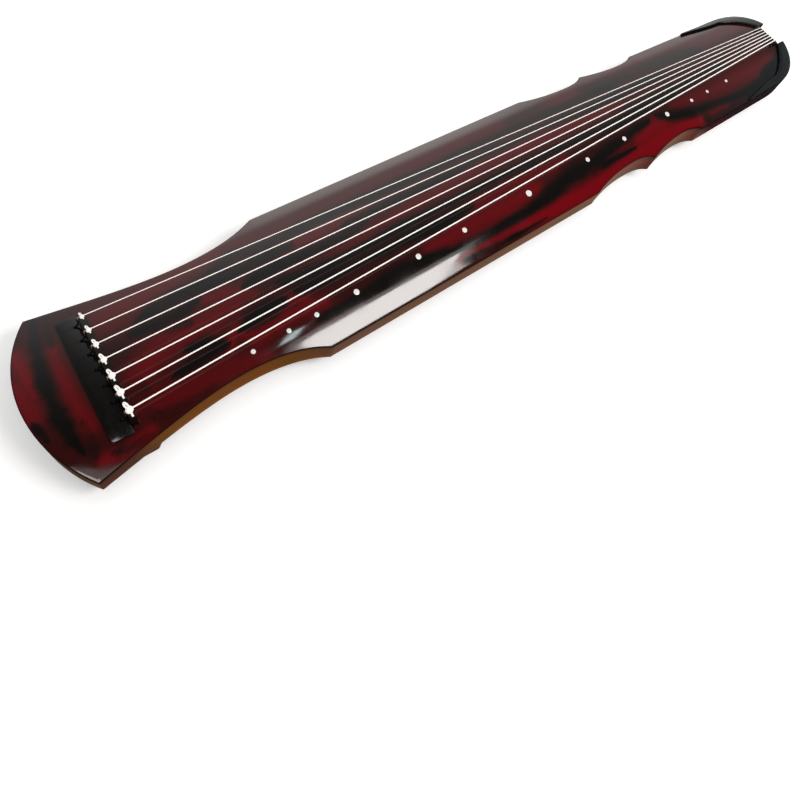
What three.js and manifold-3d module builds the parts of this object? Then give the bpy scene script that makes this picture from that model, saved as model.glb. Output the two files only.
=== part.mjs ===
// A seven-stringed guqin in black and crimson lacquer, in millimetres, with +Z up.
// Places along the body are measured from the top of the bridge ridge towards the tail.
// Heights are measured from the surface that the feet stand on.

import * as THREE from "three";
import { mergeVertices } from "three/addons/utils/BufferGeometryUtils.js";
import Module from "manifold-3d";

const wasm = await Module();
wasm.setup();

// Body, seen from above: places are from the bridge, or from the tail nut where the name says so
const STRING_LENGTH = 1120;
const HEAD_LENGTH = 96;
const HEAD_CORNER_SETBACK = 37;
const TAIL_LENGTH = 20;
const HEAD_HALF_WIDTH = 104;
const NECK_PLACE = 122;
const NECK_HALF_WIDTH = 78;
const SHOULDER_PLACE = 222;
const SHOULDER_HALF_WIDTH = 99;
const WAIST_TO_NUT = 458;
const WAIST_HALF_WIDTH = 91;
const WAIST_LOW_TO_NUT = 376;
const WAIST_LOW_HALF_WIDTH = 77;
const CUSP_TO_NUT = 339;
const CUSP_HALF_WIDTH = 86;
const HOLLOW_TO_NUT = 269;
const HOLLOW_HALF_WIDTH = 73.5;
const TAIL_CUSP_TO_NUT = 234;
const TAIL_CUSP_HALF_WIDTH = 81.4;
const TAIL_ROUND_LENGTH = 80;
const TAIL_HALF_WIDTH = 77;
const TAIL_TIP_HALF_WIDTH = 15;

// Bends of the outline: where the two handles of each curve lie, as shares of its run and width
const HEAD_TO_NECK_SHARES = [[0.32, 0.42], [0.7, 1]];
const NECK_TO_SHOULDER_SHARES = [[0.42, 0], [0.74, 0.32]];
const WAIST_TO_LOW_SHARES = [[0.3, 0.62], [0.62, 1]];
const LOW_TO_CUSP_SHARES = [[0.52, 0], [0.78, 0.36]];
const CUSP_TO_HOLLOW_SHARES = [[0.26, 0.5], [0.66, 1]];
const HOLLOW_TO_TAIL_SHARES = [[0.46, 0], [0.78, 0.4]];
const TAIL_ROUND_SHARES = [[0.62, 0], [0.89, 0.17]];

// Body, seen from the side
const FOOT_HEIGHT = 27;
const SIDE_HEIGHT = 31;
const BOTTOM_THICKNESS = 9;
const ARCH_HEIGHT = 21;
const HEAD_ARCH_HEIGHT = 19;
const TAIL_ARCH_HEIGHT = 19;
const HEAD_DROP = 5;
const TAIL_DROP = 3;
const EDGE_ROUND = 5;
const BOTTOM_EDGE_ROUND = 2.5;
const BOTTOM_JOINT_PLACE = 76;
const TOP_THICKNESS = 11;
const SIDE_WALL = 13;

// Clearance between pieces that touch, how far a cut runs past what it cuts, and what counts as one point
const GAP = 0.3;
const OVERRUN = 4;
const SAME_POINT = 1e-4;

// Fineness of the curves and of the arched surface, from the edge to the spine
const CURVE_STEPS = 8;
const ARCH_STEPS = 24;
const EDGE_TURN_SHARES = [0, 1 / 3, 2 / 3, 1];
const SURFACE_SHARES = [0.14, 0.34, 0.58, 0.82];
const CEILING_SHARES = [0.3, 0.6, 0.85, 1];
const BOTTOM_EDGE_SHARE = 0.3;

// Hollow of the body and the sound holes in the bottom board
const HOLLOW_START = 64;
const HOLLOW_END_WALL = 87;
const POOL_PLACE = 385;
const POOL_LENGTH = 212;
const POOL_HALF_WIDTH = 14;
const POND_TO_NUT = 215;
const POND_LENGTH = 112;
const POND_HALF_WIDTH = 12.5;
const HUMP_HEIGHT = 6;
const HUMP_MARGIN = 9;

// Sound posts between the boards, set back from both ends of the hump above the long sound hole
const ROUND_POST_SETBACK = 18;
const ROUND_POST_RADIUS = 9;
const SQUARE_POST_SETBACK = 100;
const SQUARE_POST_WIDTH = 16;
const POST_TOP_SHARE = 1.5;

// Bridge ridge and plate
const RIDGE_HEIGHT = 20;
const RIDGE_FRONT = 2;
const RIDGE_BACK = 7;
const RIDGE_TAPER = 1;
const RIDGE_HALF_LENGTH = 71;
const RIDGE_END_SLOPE = 4;
const RIDGE_SIDE_SHARES = [-1, -2 / 3, -1 / 3, 0, 1 / 3, 2 / 3, 1];
const PLATE_HEIGHT = 3.2;
const PLATE_LENGTH = 24;
const PLATE_HALF_LENGTH = 77;
const PLATE_CORNER = 5;
const PLATE_CORNER_SHARE = 0.3;

// Strings, thickest first, with their spread at both ends
const STRING_RADII = [0.85, 0.8, 0.74, 0.68, 0.62, 0.56, 0.5];
const BRIDGE_HALF_SPREAD = 60.3;
const NUT_HALF_SPREAD = 15.6;

// Fly-head knot on the ridge: a long open bow, a smaller one on the other side, then the tail
const KNOT_PLACE = -1;
const BOW_HALF_WIDTH = 3;
const BOW_LENGTH = 8.4;
const SMALL_BOW_RADIUS = 2.7;
const KNOT_TAIL_RADIUS = 4.2;
const KNOT_TAIL_LENGTH = 3.4;
const KNOT_SPACE = 0.5;
const BOW_STEPS = 16;
const SMALL_BOW_STEPS = 14;
const KNOT_RISE_SHARES = [0.25, 0.75];
const KNOT_TAIL_SHARES = [1 / 4, 1 / 2, 3 / 4, 1];

// Silk cords, their holes, and the pool that the pegs hang in
const CORD_RADIUS = 1.1;
const CORD_HOLE_RADIUS = 2;
const CORD_HOLE_PLACE = 13;
const PEG_POOL_HALF_WIDTH = 12.5;
const PEG_POOL_MARGIN = 13;
const PEG_PLATE_THICKNESS = 4;
const CORD_RISE_SHARES = [[0.5, 0.3], [0.9, 0.62]];
const CORD_BEND_SHARE = 0.8;

// Tuning pegs
const PEG_GROUND_CLEARANCE = 2.2;
const PEG_HEAD_RADIUS = 5.6;
const PEG_NECK_RADIUS = 4.1;
const PEG_BODY_RADIUS = 6.3;
const PEG_TIP_RADIUS = 4.6;
const PEG_HEAD_LENGTH = 3.4;
const PEG_NECK_LENGTH = 3.6;
const PEG_BORE_RADIUS = 2.3;
const PEG_BORE_DEPTH = 14;
const PEG_CORD_DEPTH = 10;
const PEG_TIP_ROUND_SHARES = [0.8, 0.96];
const PEG_BULGE_SHARE = 0.16;
const PEG_HEAD_SHARE = 0.7;

// Guards beside the pegs
const GUARD_LENGTH = 56;
const GUARD_THICKNESS = 12;
const GUARD_POOL_SETBACK = 0.7;
const GUARD_TAPER = 7;
const GUARD_BEND_SHARES = [1 / 2, 1 / 3];

// Goose feet, which the strings are wound on: the first four on the near foot, the rest on the far one
const FOOT_EDGE_SETBACK = 22;
const FOOT_PLACE_SHARE = 1 / 3;
const FOOT_SHAFT_RADIUS = 9;
const FOOT_FLANGE_RADIUS = 10.6;
const FOOT_BASE_RADIUS = 11.4;
const FOOT_BASE_HEIGHT = 3.2;
const FOOT_FLANGE_HEIGHT = 1.6;
const FOOT_CHAMFER = 1.2;
const FOOT_TENON_RADIUS = 5.5;
const FOOT_TENON_LENGTH = 7;
const WINDING_TURNS = 1.25;
const WINDING_SPACE = 0.5;
const WINDING_STEPS = 24;
const NEAR_FOOT_COUNT = 4;

// Tail nut, the nut below it, and the crown corners
const NUT_LENGTH = 12;
const NUT_END_LENGTH = 14;
const NUT_RISE = 4.4;
const NUT_DEPTH = 9;
const NUT_HALF_WIDTH = 21;
const NUT_SHOULDER_DROP = 17;
const NUT_BACK_SHARE = 1 / 3;
const NUT_FRONT_SHARES = [[0, 0], [0.12, 0.2], [0.32, 0.45], [0.58, 0.7], [0.85, 0.9], [1, 1]];
const LOWER_NUT_LENGTH = 18;
const LOWER_NUT_DEPTH = 6;
const LOWER_NUT_DROP = 2.4;
const LOWER_NUT_ROUND = 7;
const LOWER_NUT_SHARES = [[0, 0], [0.1, 0.5], [0.42, 0.88], [1, 1]];
const CROWN_LENGTH = 137;
const CROWN_SIDE_WIDTH = 11.5;
const CROWN_END_WIDTH = 17.5;
const CROWN_RISE = 4;
const CROWN_DEPTH = 7;
const CROWN_TIP_WIDTH = 1.4;
const CROWN_BEND_SHARE = 0.64;
const CROWN_SIDE_SHARES = [[0.3, 0.3], [0.62, 0.9]];
const CROWN_END_SHARES = [[0.35, 0.15], [0.78, 0.55]];
const GATE_HALF_WIDTH = 21.6;

// Markers of shell: each radius is a share of the largest, each place a share of the strings
const MARKER_RADIUS = 4.7;
const MARKER_THICKNESS = 1.4;
const MARKER_SUNK = 1.25;
const MARKER_HEAD_SETBACK = 66;
const MARKER_TAIL_SETBACK = 32.4;
const MARKER_SIZE_SHARES = [
  0.65, 0.66, 0.68, 0.83, 0.84, 0.78, 1,
  0.78, 0.78, 0.83, 0.62, 0.58, 0.55,
];
const MARKER_PLACE_SHARES = [
  1 / 8, 1 / 6, 1 / 5, 1 / 4, 1 / 3, 2 / 5, 1 / 2,
  3 / 5, 2 / 3, 3 / 4, 4 / 5, 5 / 6, 7 / 8,
];

// Worked out from the sizes above
const HEAD_CORNER_PLACE = HEAD_CORNER_SETBACK - HEAD_LENGTH;
const BODY_END = STRING_LENGTH + TAIL_LENGTH;
const WAIST_PLACE = STRING_LENGTH - WAIST_TO_NUT;
const WAIST_LOW_PLACE = STRING_LENGTH - WAIST_LOW_TO_NUT;
const CUSP_PLACE = STRING_LENGTH - CUSP_TO_NUT;
const HOLLOW_PLACE = STRING_LENGTH - HOLLOW_TO_NUT;
const TAIL_CUSP_PLACE = STRING_LENGTH - TAIL_CUSP_TO_NUT;
const POND_PLACE = STRING_LENGTH - POND_TO_NUT;
const HUMP_HALF_LENGTH = POOL_LENGTH / 2 + HUMP_MARGIN;
const ROUND_POST_PLACE = POOL_PLACE - HUMP_HALF_LENGTH - ROUND_POST_SETBACK;
const SQUARE_POST_PLACE = POOL_PLACE + HUMP_HALF_LENGTH + SQUARE_POST_SETBACK;
const TAIL_ROUND_PLACE = BODY_END - TAIL_ROUND_LENGTH;
const EDGE_LEVEL = FOOT_HEIGHT + SIDE_HEIGHT;
const SEAM_LEVEL = FOOT_HEIGHT + BOTTOM_THICKNESS;
const NUT_END = STRING_LENGTH + NUT_END_LENGTH;
const STRING_COUNT = STRING_RADII.length;

const LACQUER = { color: 0x4a1418, roughness: 0.12, metalness: 0 };
const EBONY = { color: 0x15120f, roughness: 0.3, metalness: 0 };
const SHELL = { color: 0xf1eee6, roughness: 0.2, metalness: 0 };
const STRING_WHITE = { color: 0xeee6dc, roughness: 0.45, metalness: 0 };
const SILK_RED = { color: 0x5a1a1c, roughness: 0.8, metalness: 0 };
const BARE_WOOD = { color: 0x8a5a34, roughness: 0.6, metalness: 0 };

const body = new THREE.Group();

function addMesh(name, geometry, finish) {
  const mesh = new THREE.Mesh(geometry, new THREE.MeshStandardMaterial(finish));
  mesh.name = name;
  body.add(mesh);
  return mesh;
}

// Joining and cutting closed shapes
function toSolid(geometry) {
  const bare = geometry.clone();
  for (const name of Object.keys(bare.attributes)) {
    if (name !== "position") {
      bare.deleteAttribute(name);
    }
  }
  const merged = mergeVertices(bare, SAME_POINT);
  const index = merged.index.array;
  const kept = [];
  for (let i = 0; i < index.length; i += 3) {
    const [a, b, c] = [index[i], index[i + 1], index[i + 2]];
    if (a !== b && b !== c && c !== a) {
      kept.push(a, b, c);
    }
  }
  return new wasm.Manifold(new wasm.Mesh({
    numProp: 3,
    vertProperties: new Float32Array(merged.attributes.position.array),
    triVerts: new Uint32Array(kept),
  }));
}

function toGeometry(solid) {
  const mesh = solid.getMesh();
  const geometry = new THREE.BufferGeometry();
  const places = new Float32Array(mesh.vertProperties);
  geometry.setAttribute("position", new THREE.BufferAttribute(places, 3));
  geometry.setIndex(new THREE.BufferAttribute(new Uint32Array(mesh.triVerts), 1));
  const faceted = geometry.toNonIndexed();
  faceted.computeVertexNormals();
  return faceted;
}

function cutAll(solid, cutters) {
  return cutters.reduce((rest, cutter) => rest.subtract(cutter), solid);
}

// A closed shape from rows of points, each row joined to the next and round on itself
function rowsGeometry(rows) {
  const across = rows[0].length;
  const index = [];
  for (let row = 0; row + 1 < rows.length; row += 1) {
    for (let i = 0; i < across; i += 1) {
      const next = (i + 1) % across;
      const [a, b] = [row * across + i, row * across + next];
      const [c, d] = [a + across, b + across];
      index.push(a, b, d, a, d, c);
    }
  }
  const geometry = new THREE.BufferGeometry();
  const places = rows.flat().flatMap((p) => p.toArray());
  geometry.setAttribute("position", new THREE.Float32BufferAttribute(places, 3));
  geometry.setIndex(index);
  return geometry;
}

// A value read off a list of stops, each a place and its value
function along(stops, place) {
  let [before, after] = [stops[0], stops[stops.length - 1]];
  if (place <= before[0]) {
    return before[1];
  }
  if (place >= after[0]) {
    return after[1];
  }
  for (let i = 0; i + 1 < stops.length; i += 1) {
    if (place >= stops[i][0] && place <= stops[i + 1][0]) {
      [before, after] = [stops[i], stops[i + 1]];
    }
  }
  const share = (place - before[0]) / (after[0] - before[0]);
  return before[1] + (after[1] - before[1]) * share;
}

// The arched top, as if the half-moon cuts were not there
const FULL_WIDTHS = [
  [HEAD_CORNER_PLACE, HEAD_HALF_WIDTH],
  [SHOULDER_PLACE, SHOULDER_HALF_WIDTH],
  [CUSP_PLACE, CUSP_HALF_WIDTH],
  [TAIL_ROUND_PLACE, TAIL_HALF_WIDTH],
];
const EDGE_LEVELS = [
  [-HEAD_LENGTH, EDGE_LEVEL - HEAD_DROP],
  [SHOULDER_PLACE, EDGE_LEVEL],
  [TAIL_CUSP_PLACE, EDGE_LEVEL],
  [BODY_END, EDGE_LEVEL - TAIL_DROP],
];
const ARCH_HEIGHTS = [
  [-HEAD_LENGTH, HEAD_ARCH_HEIGHT],
  [SHOULDER_PLACE, ARCH_HEIGHT],
  [CUSP_PLACE, ARCH_HEIGHT],
  [BODY_END, TAIL_ARCH_HEIGHT],
];

function topAt(place, side) {
  const share = side / along(FULL_WIDTHS, place);
  return along(EDGE_LEVELS, place) + along(ARCH_HEIGHTS, place) * (1 - share * share);
}

// Half of the outline, from the head apex round the far side to the tail
const HEAD_ARC_SQUARES = HEAD_HALF_WIDTH ** 2 + HEAD_CORNER_SETBACK ** 2;
const HEAD_ARC_RADIUS = HEAD_ARC_SQUARES / (2 * HEAD_CORNER_SETBACK);
const HEAD_ARC_ANGLE = Math.asin(HEAD_HALF_WIDTH / HEAD_ARC_RADIUS);

function mix(a, b, share) {
  return a + (b - a) * share;
}

// A curve between two stops whose handles lie at shares of the run and of the change in width
function swing(path, from, to, handleShares) {
  const [first, second] = handleShares;
  path.bezierCurveTo(
    mix(from[0], to[0], first[0]), mix(from[1], to[1], first[1]),
    mix(from[0], to[0], second[0]), mix(from[1], to[1], second[1]),
    to[0], to[1],
  );
}

function outlinePath() {
  const corner = [HEAD_CORNER_PLACE, HEAD_HALF_WIDTH];
  const neck = [NECK_PLACE, NECK_HALF_WIDTH];
  const shoulder = [SHOULDER_PLACE, SHOULDER_HALF_WIDTH];
  const waist = [WAIST_PLACE, WAIST_HALF_WIDTH];
  const waistLow = [WAIST_LOW_PLACE, WAIST_LOW_HALF_WIDTH];
  const cusp = [CUSP_PLACE, CUSP_HALF_WIDTH];
  const hollow = [HOLLOW_PLACE, HOLLOW_HALF_WIDTH];
  const tailCusp = [TAIL_CUSP_PLACE, TAIL_CUSP_HALF_WIDTH];
  const tailRound = [TAIL_ROUND_PLACE, TAIL_HALF_WIDTH];
  const tailTip = [BODY_END, TAIL_TIP_HALF_WIDTH];
  const path = new THREE.Path();
  const arcCentre = HEAD_ARC_RADIUS - HEAD_LENGTH;
  path.absarc(arcCentre, 0, HEAD_ARC_RADIUS, Math.PI, Math.PI - HEAD_ARC_ANGLE, true);
  swing(path, corner, neck, HEAD_TO_NECK_SHARES);
  swing(path, neck, shoulder, NECK_TO_SHOULDER_SHARES);
  path.lineTo(...waist);
  swing(path, waist, waistLow, WAIST_TO_LOW_SHARES);
  swing(path, waistLow, cusp, LOW_TO_CUSP_SHARES);
  swing(path, cusp, hollow, CUSP_TO_HOLLOW_SHARES);
  swing(path, hollow, tailCusp, HOLLOW_TO_TAIL_SHARES);
  path.lineTo(...tailRound);
  swing(path, tailRound, tailTip, TAIL_ROUND_SHARES);
  path.lineTo(BODY_END, 0);
  return path;
}

const HALF_OUTLINE = outlinePath().getPoints(CURVE_STEPS);

function halfWidthAt(place) {
  return along(HALF_OUTLINE.map((p) => [p.x, p.y]), place);
}

// The whole outline, anticlockwise, from the head apex along the near side and back
function wholeOutline(half) {
  const near = half.map((p) => new THREE.Vector2(p.x, -p.y));
  const far = half.slice(1, -1).reverse();
  return [...near, ...far];
}

// At each corner, the way that moves both its sides inwards by one
function inwardNormals(outline) {
  return outline.map((point, i) => {
    const before = outline[(i + outline.length - 1) % outline.length];
    const after = outline[(i + 1) % outline.length];
    const arriving = point.clone().sub(before).normalize();
    const leaving = after.clone().sub(point).normalize();
    const normal = new THREE.Vector2(-arriving.y - leaving.y, arriving.x + leaving.x).normalize();
    const lean = Math.max(normal.dot(new THREE.Vector2(-leaving.y, leaving.x)), 0.5);
    return normal.divideScalar(lean);
  });
}

// A body on the outline: rings drawn in from its edge, then a surface that runs to the spine
function bodySolid(outline, rings, surfaceShares, surfaceAt) {
  const normals = inwardNormals(outline);
  const spine = outline.map((p) => {
    return new THREE.Vector2(THREE.MathUtils.clamp(p.x, HEAD_CORNER_PLACE, TAIL_ROUND_PLACE), 0);
  });
  const ringRows = rings.map(([inset, levelAt]) => {
    return outline.map((p, i) => {
      const at = p.clone().addScaledVector(normals[i], inset);
      return new THREE.Vector3(at.x, at.y, levelAt(at));
    });
  });
  const floor = spine.map((p) => new THREE.Vector3(p.x, 0, rings[0][1](p)));
  const last = ringRows[ringRows.length - 1];
  const surface = [...surfaceShares, 1].map((share) => {
    return last.map((p, i) => {
      const at = new THREE.Vector2(p.x, p.y).lerp(spine[i], share);
      return new THREE.Vector3(at.x, at.y, surfaceAt(at.x, at.y));
    });
  });
  return toSolid(rowsGeometry([floor, ...ringRows, ...surface]));
}

// Edge rings that turn from the upright side into the arched top
function roundedRings(floorLevel, rise) {
  const rings = [[0, () => floorLevel]];
  for (const turnShare of EDGE_TURN_SHARES) {
    const turn = (turnShare * Math.PI) / 2;
    const inset = EDGE_ROUND * (1 - Math.cos(turn));
    const drop = EDGE_ROUND * (1 - Math.sin(turn));
    rings.push([inset, (at) => topAt(at.x, at.y) + rise - drop]);
  }
  return rings;
}

// Everything below the arched top, raised or lowered by an offset
function underTop(offset, floorLevel = 0) {
  const reach = HEAD_HALF_WIDTH + OVERRUN;
  const stops = [...EDGE_LEVELS, ...FULL_WIDTHS, ...ARCH_HEIGHTS].map((stop) => stop[0]);
  const places = [...new Set(stops)];
  places.sort((a, b) => a - b);
  places[0] -= OVERRUN;
  places[places.length - 1] += OVERRUN;
  const rows = places.map((place) => {
    const row = [];
    for (let i = 0; i <= ARCH_STEPS; i += 1) {
      const side = mix(reach, -reach, i / ARCH_STEPS);
      row.push(new THREE.Vector3(place, side, topAt(place, side) + offset));
    }
    row.push(new THREE.Vector3(place, -reach, floorLevel));
    row.push(new THREE.Vector3(place, reach, floorLevel));
    return row;
  });
  return toSolid(cappedRows(rows));
}

// Rows of points along a length, closed by a fan at both ends
function cappedRows(rows) {
  const middle = (row) => {
    const centre = row.reduce((sum, p) => sum.add(p), new THREE.Vector3()).divideScalar(row.length);
    return row.map(() => centre);
  };
  return rowsGeometry([middle(rows[0]), ...rows, middle(rows[rows.length - 1])]);
}

// A plan shape raised from one level to another
function uprightGeometry(points, from, to) {
  const settings = { depth: to - from, bevelEnabled: false };
  return new THREE.ExtrudeGeometry(new THREE.Shape(points), settings).translate(0, 0, from);
}

function upright(points, from, to) {
  return toSolid(uprightGeometry(points, from, to));
}

function toPoints(pairs) {
  return pairs.map(([x, y]) => new THREE.Vector2(x, y));
}

function rectangle(start, end, halfWidth) {
  return toPoints([[start, -halfWidth], [end, -halfWidth], [end, halfWidth], [start, halfWidth]]);
}

// A slot along the body with round ends
function slot(centre, length, halfWidth) {
  const path = new THREE.Path();
  const reach = length / 2 - halfWidth;
  path.absarc(centre + reach, 0, halfWidth, -Math.PI / 2, Math.PI / 2);
  path.absarc(centre - reach, 0, halfWidth, Math.PI / 2, (3 * Math.PI) / 2);
  return path.getPoints(4).slice(0, -1);
}

function cylinder(radius, place, side, from, to, sides) {
  const geometry = new THREE.CylinderGeometry(radius, radius, to - from, sides);
  return geometry.rotateX(Math.PI / 2).translate(place, side, (from + to) / 2);
}

// A profile across the body, given in place and height, drawn out to both sides
function crosswise(profile, halfWidth) {
  const settings = { depth: 2 * halfWidth, bevelEnabled: false };
  const geometry = new THREE.ExtrudeGeometry(new THREE.Shape(profile), settings);
  return geometry.rotateX(Math.PI / 2).translate(0, halfWidth, 0);
}

// A profile, given in radius and height, turned round an upright axis
function lathe(profile, sides) {
  return new THREE.LatheGeometry(toPoints(profile), sides).rotateX(Math.PI / 2);
}

// A tube along a route of chosen points
class Route extends THREE.Curve {
  constructor(points) {
    super();
    this.points = points;
  }

  getPoint(t, target = new THREE.Vector3()) {
    const at = t * (this.points.length - 1);
    const i = Math.min(Math.floor(at), this.points.length - 2);
    return target.lerpVectors(this.points[i], this.points[i + 1], at - i);
  }

  getSpacedPoints() {
    return this.points.map((p) => p.clone());
  }

  getTangentAt(t, target = new THREE.Vector3()) {
    const i = Math.round(t * (this.points.length - 1));
    const arriving = new THREE.Vector3();
    const leaving = new THREE.Vector3();
    if (i > 0) {
      arriving.subVectors(this.points[i], this.points[i - 1]).normalize();
    }
    if (i + 1 < this.points.length) {
      leaving.subVectors(this.points[i + 1], this.points[i]).normalize();
    }
    return target.addVectors(arriving, leaving).normalize();
  }
}

function tube(points, radius, sides) {
  const circle = new THREE.Path().absarc(0, 0, radius, 0, 2 * Math.PI);
  const section = new THREE.Shape(circle.getPoints(sides / 2).slice(0, -1));
  return new THREE.ExtrudeGeometry(section, {
    steps: points.length - 1,
    extrudePath: new Route(points),
    bevelEnabled: false,
  });
}

// The least gap between parts of a tube that are not neighbours along it
function leastGapToItself(points, radius) {
  const samples = [];
  for (let i = 0; i + 1 < points.length; i += 1) {
    const pieces = Math.min(Math.ceil(points[i].distanceTo(points[i + 1]) / radius), 12);
    for (let k = 0; k < pieces; k += 1) {
      samples.push(points[i].clone().lerp(points[i + 1], k / pieces));
    }
  }
  const runs = [0];
  for (let i = 1; i < samples.length; i += 1) {
    runs.push(runs[i - 1] + samples[i].distanceTo(samples[i - 1]));
  }
  let least = Infinity;
  for (let i = 0; i < samples.length; i += 1) {
    for (let k = i + 1; k < samples.length; k += 1) {
      if (runs[k] - runs[i] > 6 * radius) {
        least = Math.min(least, samples[i].distanceTo(samples[k]) - 2 * radius);
      }
    }
  }
  return least;
}

function lengthOf(points) {
  return points.slice(1).reduce((sum, p, i) => sum + p.distanceTo(points[i]), 0);
}

// Where each string stands at the bridge and at the tail nut
function spread(halfSpread, index) {
  return mix(-halfSpread, halfSpread, index / (STRING_COUNT - 1));
}

function stringSides() {
  return STRING_RADII.map((_, index) => spread(BRIDGE_HALF_SPREAD, index));
}

const CORD_PLACE = -CORD_HOLE_PLACE;
const PEG_POOL_HALF_LENGTH = BRIDGE_HALF_SPREAD + PEG_POOL_MARGIN;
const PEG_PLATE_FLOOR = SEAM_LEVEL + GAP;
const PEG_PLATE_TOP = PEG_PLATE_FLOOR + PEG_PLATE_THICKNESS;

function cordHoles(from, to) {
  return stringSides().map((side) => {
    return toSolid(cylinder(CORD_HOLE_RADIUS, CORD_PLACE, side, from, to, 12));
  });
}

function pegPoolShape(clearance) {
  const halfWidth = PEG_POOL_HALF_WIDTH + clearance;
  return rectangle(CORD_PLACE - halfWidth, CORD_PLACE + halfWidth, PEG_POOL_HALF_LENGTH + clearance);
}

// Crown corner: a band that follows the outline round the tail corner, widening to its end
function crownShape(clearance) {
  const start = BODY_END - CROWN_LENGTH;
  const gate = GATE_HALF_WIDTH - clearance;
  const tipWidth = CROWN_TIP_WIDTH + clearance;
  const sideWidth = CROWN_SIDE_WIDTH + clearance;
  const endPlace = BODY_END - CROWN_END_WIDTH - clearance;
  const bendPlace = mix(start, endPlace, CROWN_BEND_SHARE);
  const outside = halfWidthAt(start) + OVERRUN;
  const tip = [start, halfWidthAt(start) - tipWidth];
  const bend = [bendPlace, halfWidthAt(bendPlace) - sideWidth];
  const shape = new THREE.Path();
  shape.moveTo(start - clearance, outside);
  shape.lineTo(start - clearance, tip[1]);
  shape.lineTo(...tip);
  swing(shape, tip, bend, CROWN_SIDE_SHARES);
  swing(shape, bend, [endPlace, gate], CROWN_END_SHARES);
  const inner = shape.getPoints(CURVE_STEPS - 1);
  return [...inner, ...toPoints([[BODY_END + OVERRUN, gate], [BODY_END + OVERRUN, outside]])];
}

function mirrored(points) {
  return points.map((p) => new THREE.Vector2(p.x, -p.y));
}

function crownBlocks(clearance) {
  const floor = underTop(-CROWN_DEPTH - clearance);
  const ceiling = EDGE_LEVEL + ARCH_HEIGHT + RIDGE_HEIGHT;
  return [crownShape(clearance), mirrored(crownShape(clearance))]
    .map((shape) => upright(shape, FOOT_HEIGHT, ceiling).subtract(floor));
}

// The curve that the strings bend over at the tail, from the crest of the nut to the lower nut
const NUT_CREST = topAt(STRING_LENGTH, 0) + NUT_RISE;
const LOWER_NUT_FLOOR = FOOT_HEIGHT - LOWER_NUT_DROP;

function upperBend() {
  return toPoints(NUT_FRONT_SHARES.map(([run, fall]) => {
    return [mix(STRING_LENGTH, NUT_END, run), NUT_CREST - NUT_SHOULDER_DROP * fall * fall];
  }));
}

function lowerBend() {
  const top = LOWER_NUT_FLOOR + LOWER_NUT_ROUND;
  return toPoints(LOWER_NUT_SHARES.map(([run, fall]) => {
    return [NUT_END - LOWER_NUT_ROUND * run, top - LOWER_NUT_ROUND * fall];
  }));
}

// A line moved outwards by a distance, keeping its corners
function movedOut(points, distance) {
  const headings = points.slice(1).map((point, i) => point.clone().sub(points[i]).normalize());
  return points.map((point, i) => {
    const arriving = headings[Math.max(i - 1, 0)];
    const leaving = headings[Math.min(i, headings.length - 1)];
    const normal = new THREE.Vector2(-arriving.y - leaving.y, arriving.x + leaving.x).normalize();
    const lean = normal.dot(new THREE.Vector2(-leaving.y, leaving.x));
    return point.clone().addScaledVector(normal, distance / lean);
  });
}

function bendPoints(distance) {
  const bend = [...upperBend(), ...lowerBend()];
  return distance ? movedOut(bend, distance) : bend;
}

const NUT_FLOOR = topAt(STRING_LENGTH - NUT_LENGTH, NUT_HALF_WIDTH) - NUT_DEPTH;

function nutProfile() {
  const bend = bendPoints(0).slice(0, NUT_FRONT_SHARES.length);
  const start = STRING_LENGTH - NUT_LENGTH;
  return [
    new THREE.Vector2(start, NUT_FLOOR),
    new THREE.Vector2(NUT_END, NUT_FLOOR - NUT_DEPTH),
    ...bend.reverse(),
    new THREE.Vector2(start, NUT_FLOOR + NUT_DEPTH + NUT_RISE * NUT_BACK_SHARE),
  ];
}

// The seat of the nut is open above it and at the tail
function nutSeat() {
  const start = STRING_LENGTH - NUT_LENGTH - GAP;
  const end = NUT_END + OVERRUN;
  const fall = (NUT_DEPTH * OVERRUN) / (NUT_LENGTH + NUT_END_LENGTH);
  const profile = [
    new THREE.Vector2(start, NUT_FLOOR - GAP),
    new THREE.Vector2(end, NUT_FLOOR - NUT_DEPTH - fall - GAP),
    new THREE.Vector2(end, NUT_CREST + OVERRUN),
    new THREE.Vector2(start, NUT_CREST + OVERRUN),
  ];
  return toSolid(crosswise(profile, NUT_HALF_WIDTH + GAP));
}

function lowerNutProfile() {
  const start = NUT_END - LOWER_NUT_LENGTH;
  const ceiling = FOOT_HEIGHT + LOWER_NUT_DEPTH;
  const bend = bendPoints(0).slice(NUT_FRONT_SHARES.length);
  return [
    new THREE.Vector2(start, ceiling),
    new THREE.Vector2(start, LOWER_NUT_FLOOR),
    ...bend.reverse(),
    new THREE.Vector2(NUT_END, ceiling),
  ];
}

function lowerNutSeat() {
  const seat = rectangle(NUT_END - LOWER_NUT_LENGTH - GAP, NUT_END + OVERRUN, NUT_HALF_WIDTH + GAP);
  return upright(seat, FOOT_HEIGHT - OVERRUN, FOOT_HEIGHT + LOWER_NUT_DEPTH + GAP);
}

function tailGate() {
  const shape = rectangle(NUT_END, BODY_END + OVERRUN, GATE_HALF_WIDTH);
  return upright(shape, FOOT_HEIGHT - OVERRUN, EDGE_LEVEL + ARCH_HEIGHT + OVERRUN);
}

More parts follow.
